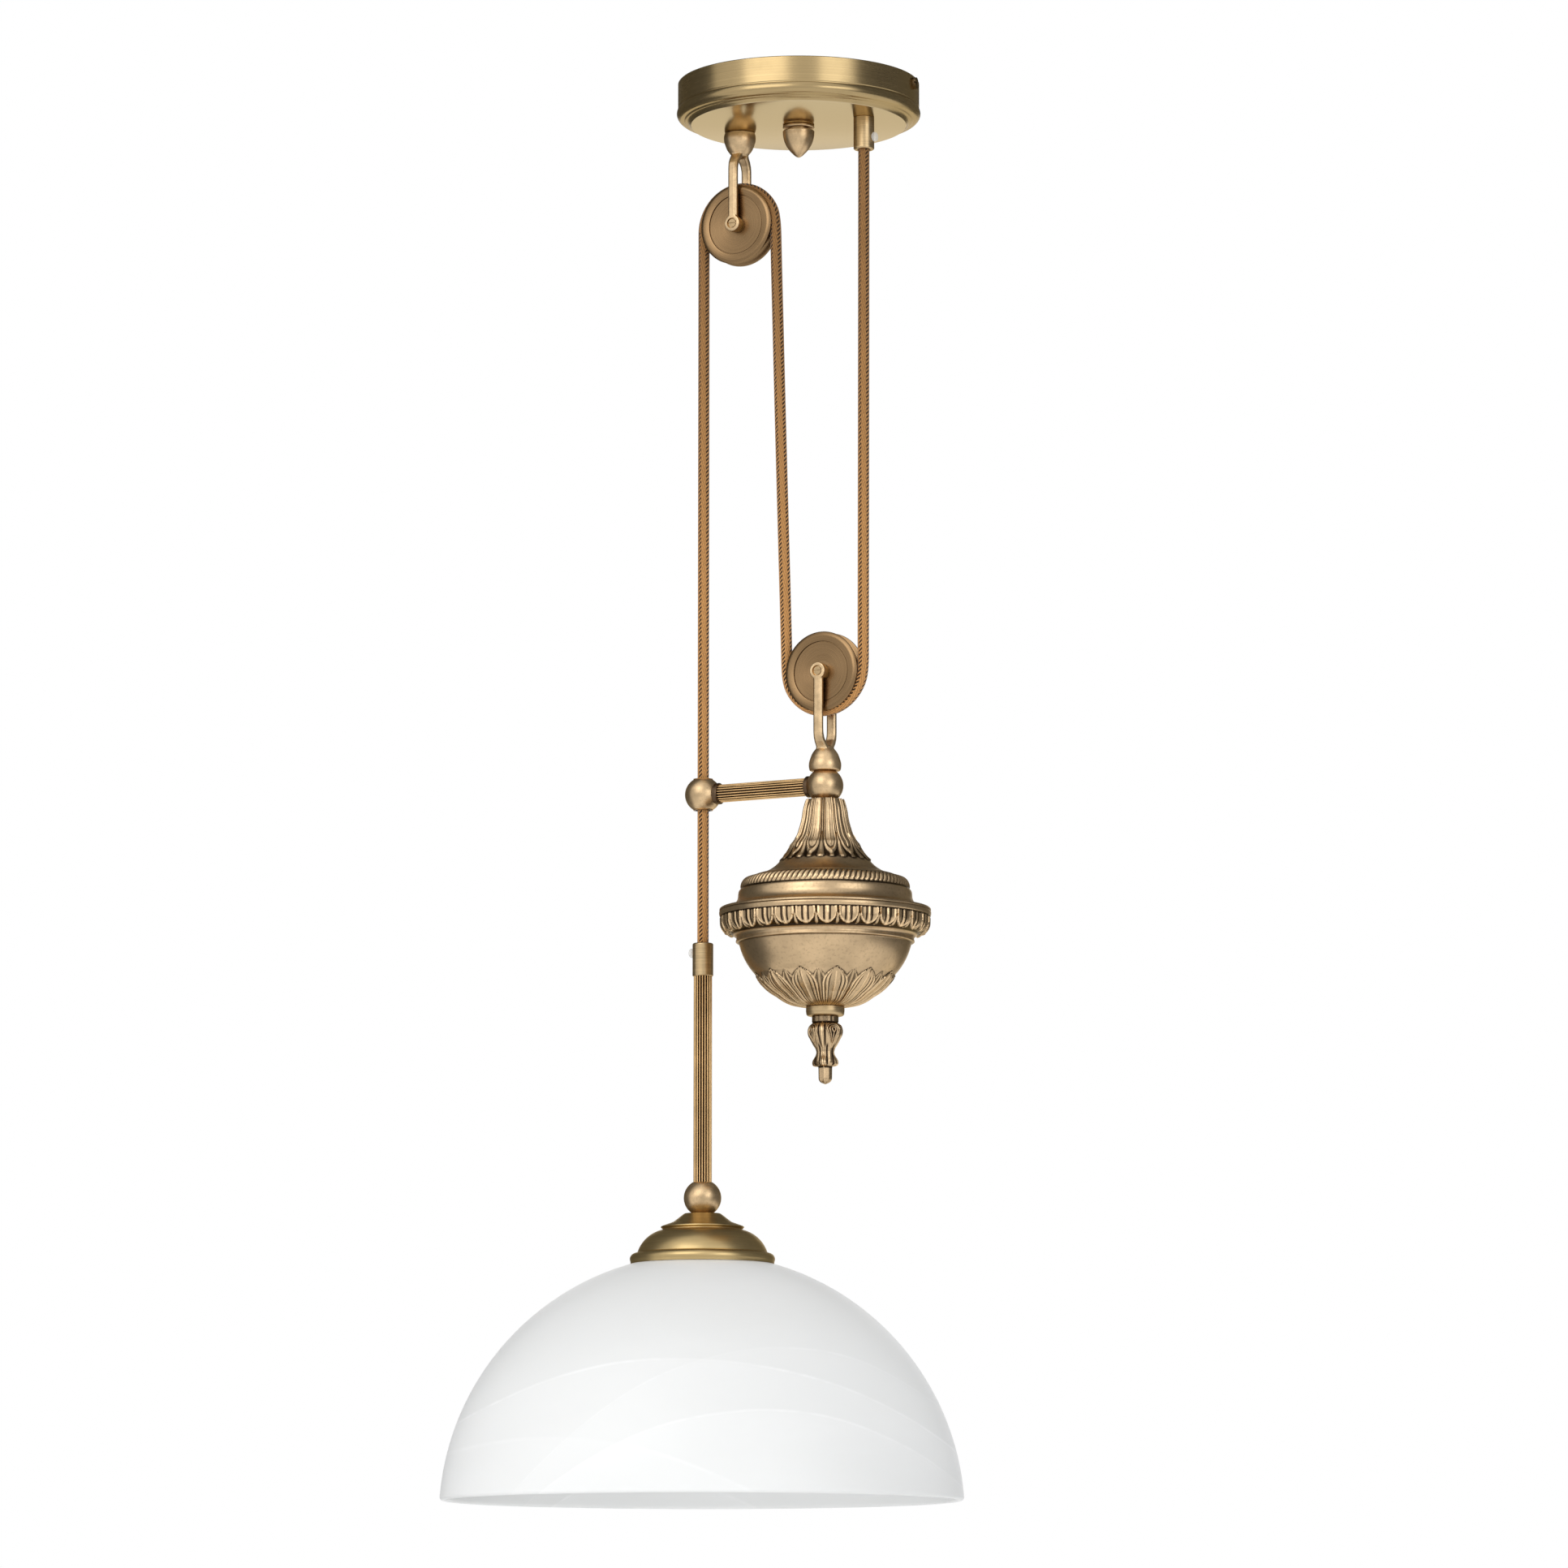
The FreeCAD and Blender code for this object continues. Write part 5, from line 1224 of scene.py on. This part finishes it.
class PENDANT_OT_finishes(bpy.types.Operator):
    """Give every part of the CAD model that is kept its finish"""
    bl_idname = "pendant.finishes"
    bl_label = "Finishes of the inner parts"

    def execute(self, context):
        colours = context.scene.pendant_colours
        steel = plain("zinc_steel", (0.52, 0.52, 0.50), 0.38, metallic=1.0, scale=700.0)
        iron = plain("cast_iron", (0.045, 0.043, 0.042), 0.62, scale=500.0, contrast=0.3)
        insulation = plain("core_insulation", (0.30, 0.17, 0.08), 0.45, scale=600.0)
        terminal = plain("terminal_plastic", (0.74, 0.72, 0.66), 0.42, scale=300.0)
        holder = plain("holder_plastic", (0.60, 0.58, 0.54), 0.30, scale=300.0, contrast=0.06)
        bush = plain("bush_brass", (0.50, 0.36, 0.15), 0.30, metallic=1.0, scale=900.0)
        screw = brushed("screw_brass", (0.13, 0.09, 0.05), (0, 0, 0), "X", roughness=0.30)
        dark = plain("dark_brass", (0.12, 0.08, 0.045), 0.40, metallic=1.0, scale=900.0)
        yoke_screw = plain("axle_brass", (0.42, 0.30, 0.165), 0.34, metallic=1.0, scale=900.0)
        finishes = {
            "side_screws": screw, "upper_axle_screw": yoke_screw, "lower_axle_screw": yoke_screw,
            "upper_spacers": bush, "lower_spacers": bush, "upper_pulley_bush": bush,
            "lower_pulley_bush": bush, "guide_bush": dark, "ballast": iron, "terminal_block": terminal,
            "canopy_cores": insulation, "lamp_cores": insulation, "holder_body": holder,
            "holder_cap": holder, "thread_sleeve": bush, "centre_contact": bush}
        for name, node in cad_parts.items():
            node.data.materials.clear()
            node.data.materials.append(finishes.get(name, steel))
            activate(node)
            bpy.ops.object.shade_smooth_by_angle(angle=math.radians(30))
        return {"FINISHED"}


# ---- Stage: places in metres, powers in watts ----
FLOOR_Z = -1.45
AIM = Vector((-0.02, 0, -0.42))
CAMERA_PLACE = (1.87297, -3.39650, -0.94810)
CAMERA_PITCH = math.radians(97.87)
CAMERA_LENS = 156.3
# How bright the white surroundings are as light on the object. The camera and reflections see them at 1.
SURROUND_LIGHT = 0.66
# Name, place, side, power, colour, and whether the lamp shows in the metal.
LAMPS = (("key", (-0.1, -2.4, 0.9), 1.9, 20, (1.0, 0.99, 0.97), True),
         ("fill", (2.6, -1.3, 0.2), 1.5, 12, (0.97, 0.985, 1.0), True),
         ("left", (-2.5, -0.6, 0.3), 1.2, 8, (1.0, 1.0, 1.0), False),
         ("rim", (0.9, 2.3, 0.7), 1.4, 8, (1.0, 1.0, 1.0), False))
# Folds of the dark cloths as (distance from the middle, height).
FOLD_LOW = [(1.1, -1.43), (2.6, -1.43)]
FOLD_SIDE = [(2.65, 0.3), (2.7, 1.9)]
FOLD_HIGH = [(1.9, 3.0), (0.6, 3.3)]
# Name, first bearing, sweep, grey and fold of each cloth.
FLAGS = (("flag_left", -149.0, -77.0, 0.16, FOLD_LOW + FOLD_SIDE + FOLD_HIGH),
         ("flag_right", -5.0, 103.0, 0.22, FOLD_LOW[1:] + FOLD_SIDE + FOLD_HIGH),
         ("flag_back", 98.0, 36.0, 0.12, FOLD_SIDE + FOLD_HIGH))


def make_flag(name, start, sweep, grey, fold):
    """Dark curved cloth beside the set, seen only in reflections, that gives the brass its dark edges."""
    mesh = bpy.data.meshes.new(name)
    points = [(reach * math.cos(start), reach * math.sin(start), z) for reach, z in fold]
    mesh.from_pydata(points, [(i, i + 1) for i in range(len(points) - 1)], [])
    flag = linked(name, mesh)
    activate(flag)
    bpy.ops.object.mode_set(mode="EDIT")
    bpy.ops.mesh.select_all(action="SELECT")
    bpy.ops.mesh.spin(steps=24, angle=-sweep, center=(0, 0, 0), axis=(0, 0, 1))
    bpy.ops.object.mode_set(mode="OBJECT")
    shade = Finish(name + "_cloth", Roughness=0.95)
    shade.set("Base Color", shade.mix(shade.noise(shade.place(), 4.0), (grey * 0.9,) * 3, (grey * 1.1,) * 3))
    flag.data.materials.append(shade.material)
    flag.visible_camera = False
    flag.visible_diffuse = False
    flag.visible_shadow = False
    flag.visible_transmission = False


class PENDANT_OT_stage(bpy.types.Operator):
    """Set the pale floor, the soft lights, the white surroundings and the camera"""
    bl_idname = "pendant.stage"
    bl_label = "Stage"

    def execute(self, context):
        scene = context.scene
        clear_selection()
        bpy.ops.mesh.primitive_plane_add(size=14, location=(0, 0, FLOOR_Z))
        floor = context.object
        floor.name = "floor"
        finish = Finish("floor_white", Roughness=0.9)
        mottle = finish.noise(finish.place(), 3.0)
        finish.set("Base Color", finish.mix(mottle, (0.80, 0.80, 0.80), (0.86, 0.86, 0.86)))
        is_glossy = finish.add("ShaderNodeLightPath", {}, output=3)
        finish.set("Emission Strength", 1.0)
        finish.set("Emission Color", finish.mix(is_glossy, (0.0, 0.0, 0.0), (0.35, 0.35, 0.35)))
        floor.data.materials.append(finish.material)
        for name, place, size, power, colour, shows in LAMPS:
            clear_selection()
            bpy.ops.object.light_add(type="AREA", location=place)
            light = context.object
            light.name = name
            light.data.shape = "SQUARE"
            light.data.size = size
            light.data.energy = power
            light.data.color = colour
            light.visible_glossy = shows
            light.rotation_euler = (AIM - Vector(place)).to_track_quat("-Z", "Y").to_euler()
        for name, start, sweep, grey, fold in FLAGS:
            make_flag(name, math.radians(start), math.radians(sweep), grey, fold)
        bpy.ops.object.light_add(type="AREA", location=(0.2, -0.7, -1.38), rotation=(math.radians(155), 0, 0))
        bounce = context.object
        bounce.name = "bounce"
        bounce.data.size = 1.4
        bounce.data.energy = 6.5
        bounce.visible_glossy = False
        world = bpy.data.worlds.new("white")
        scene.world = world
        world.use_nodes = True
        tree = world.node_tree
        background = tree.nodes["Background"]
        background.inputs[0].default_value = (1, 1, 1, 1)
        paths = tree.nodes.new("ShaderNodeLightPath")
        strength = paths.outputs["Is Camera Ray"]
        for ray in ("Is Glossy Ray", "Is Transmission Ray"):
            both = tree.nodes.new("ShaderNodeMath")
            both.operation = "MAXIMUM"
            tree.links.new(strength, both.inputs[0])
            tree.links.new(paths.outputs[ray], both.inputs[1])
            strength = both.outputs[0]
        level = tree.nodes.new("ShaderNodeMapRange")
        level.inputs["To Min"].default_value = SURROUND_LIGHT
        level.inputs["To Max"].default_value = 1.0
        tree.links.new(strength, level.inputs["Value"])
        tree.links.new(level.outputs[0], background.inputs[1])
        scene.view_settings.view_transform = "Standard"
        bpy.ops.object.camera_add(location=CAMERA_PLACE, rotation=(CAMERA_PITCH, 0, VIEW_BEARING))
        camera = context.object
        camera.data.sensor_width = 36
        camera.data.lens = CAMERA_LENS
        scene.camera = camera
        return {"FINISHED"}


class PENDANT_PT_panel(bpy.types.Panel):
    bl_label = "Pendant"
    bl_idname = "PENDANT_PT_panel"
    bl_space_type = "VIEW_3D"
    bl_region_type = "UI"
    bl_category = "Pendant"

    def draw(self, context):
        scene = context.scene
        for title, group in (("Sizes", scene.pendant_sizes), ("Colours", scene.pendant_colours)):
            box = self.layout.box()
            box.label(text=title)
            for name in group.__annotations__:
                box.prop(group, name)
        for piece in PIECES:
            self.layout.operator(piece.bl_idname)


PIECES = (PENDANT_OT_finishes, PENDANT_OT_cords, PENDANT_OT_canopy, PENDANT_OT_pulleys, PENDANT_OT_guide,
          PENDANT_OT_counterweight, PENDANT_OT_lamp, PENDANT_OT_stage)
CLASSES = (PendantSizes, PendantColours) + PIECES + (PENDANT_PT_panel,)


def register():
    for cls in CLASSES:
        bpy.utils.register_class(cls)
    bpy.types.Scene.pendant_sizes = bpy.props.PointerProperty(type=PendantSizes)
    bpy.types.Scene.pendant_colours = bpy.props.PointerProperty(type=PendantColours)


def unregister():
    del bpy.types.Scene.pendant_sizes
    del bpy.types.Scene.pendant_colours
    for cls in reversed(CLASSES):
        bpy.utils.unregister_class(cls)


def main():
    register()
    bpy.ops.pendant.finishes()
    bpy.ops.pendant.cords()
    bpy.ops.pendant.canopy()
    bpy.ops.pendant.pulleys()
    bpy.ops.pendant.guide()
    bpy.ops.pendant.counterweight()
    bpy.ops.pendant.lamp()
    bpy.ops.pendant.stage()


if __name__ == "__main__":
    main()
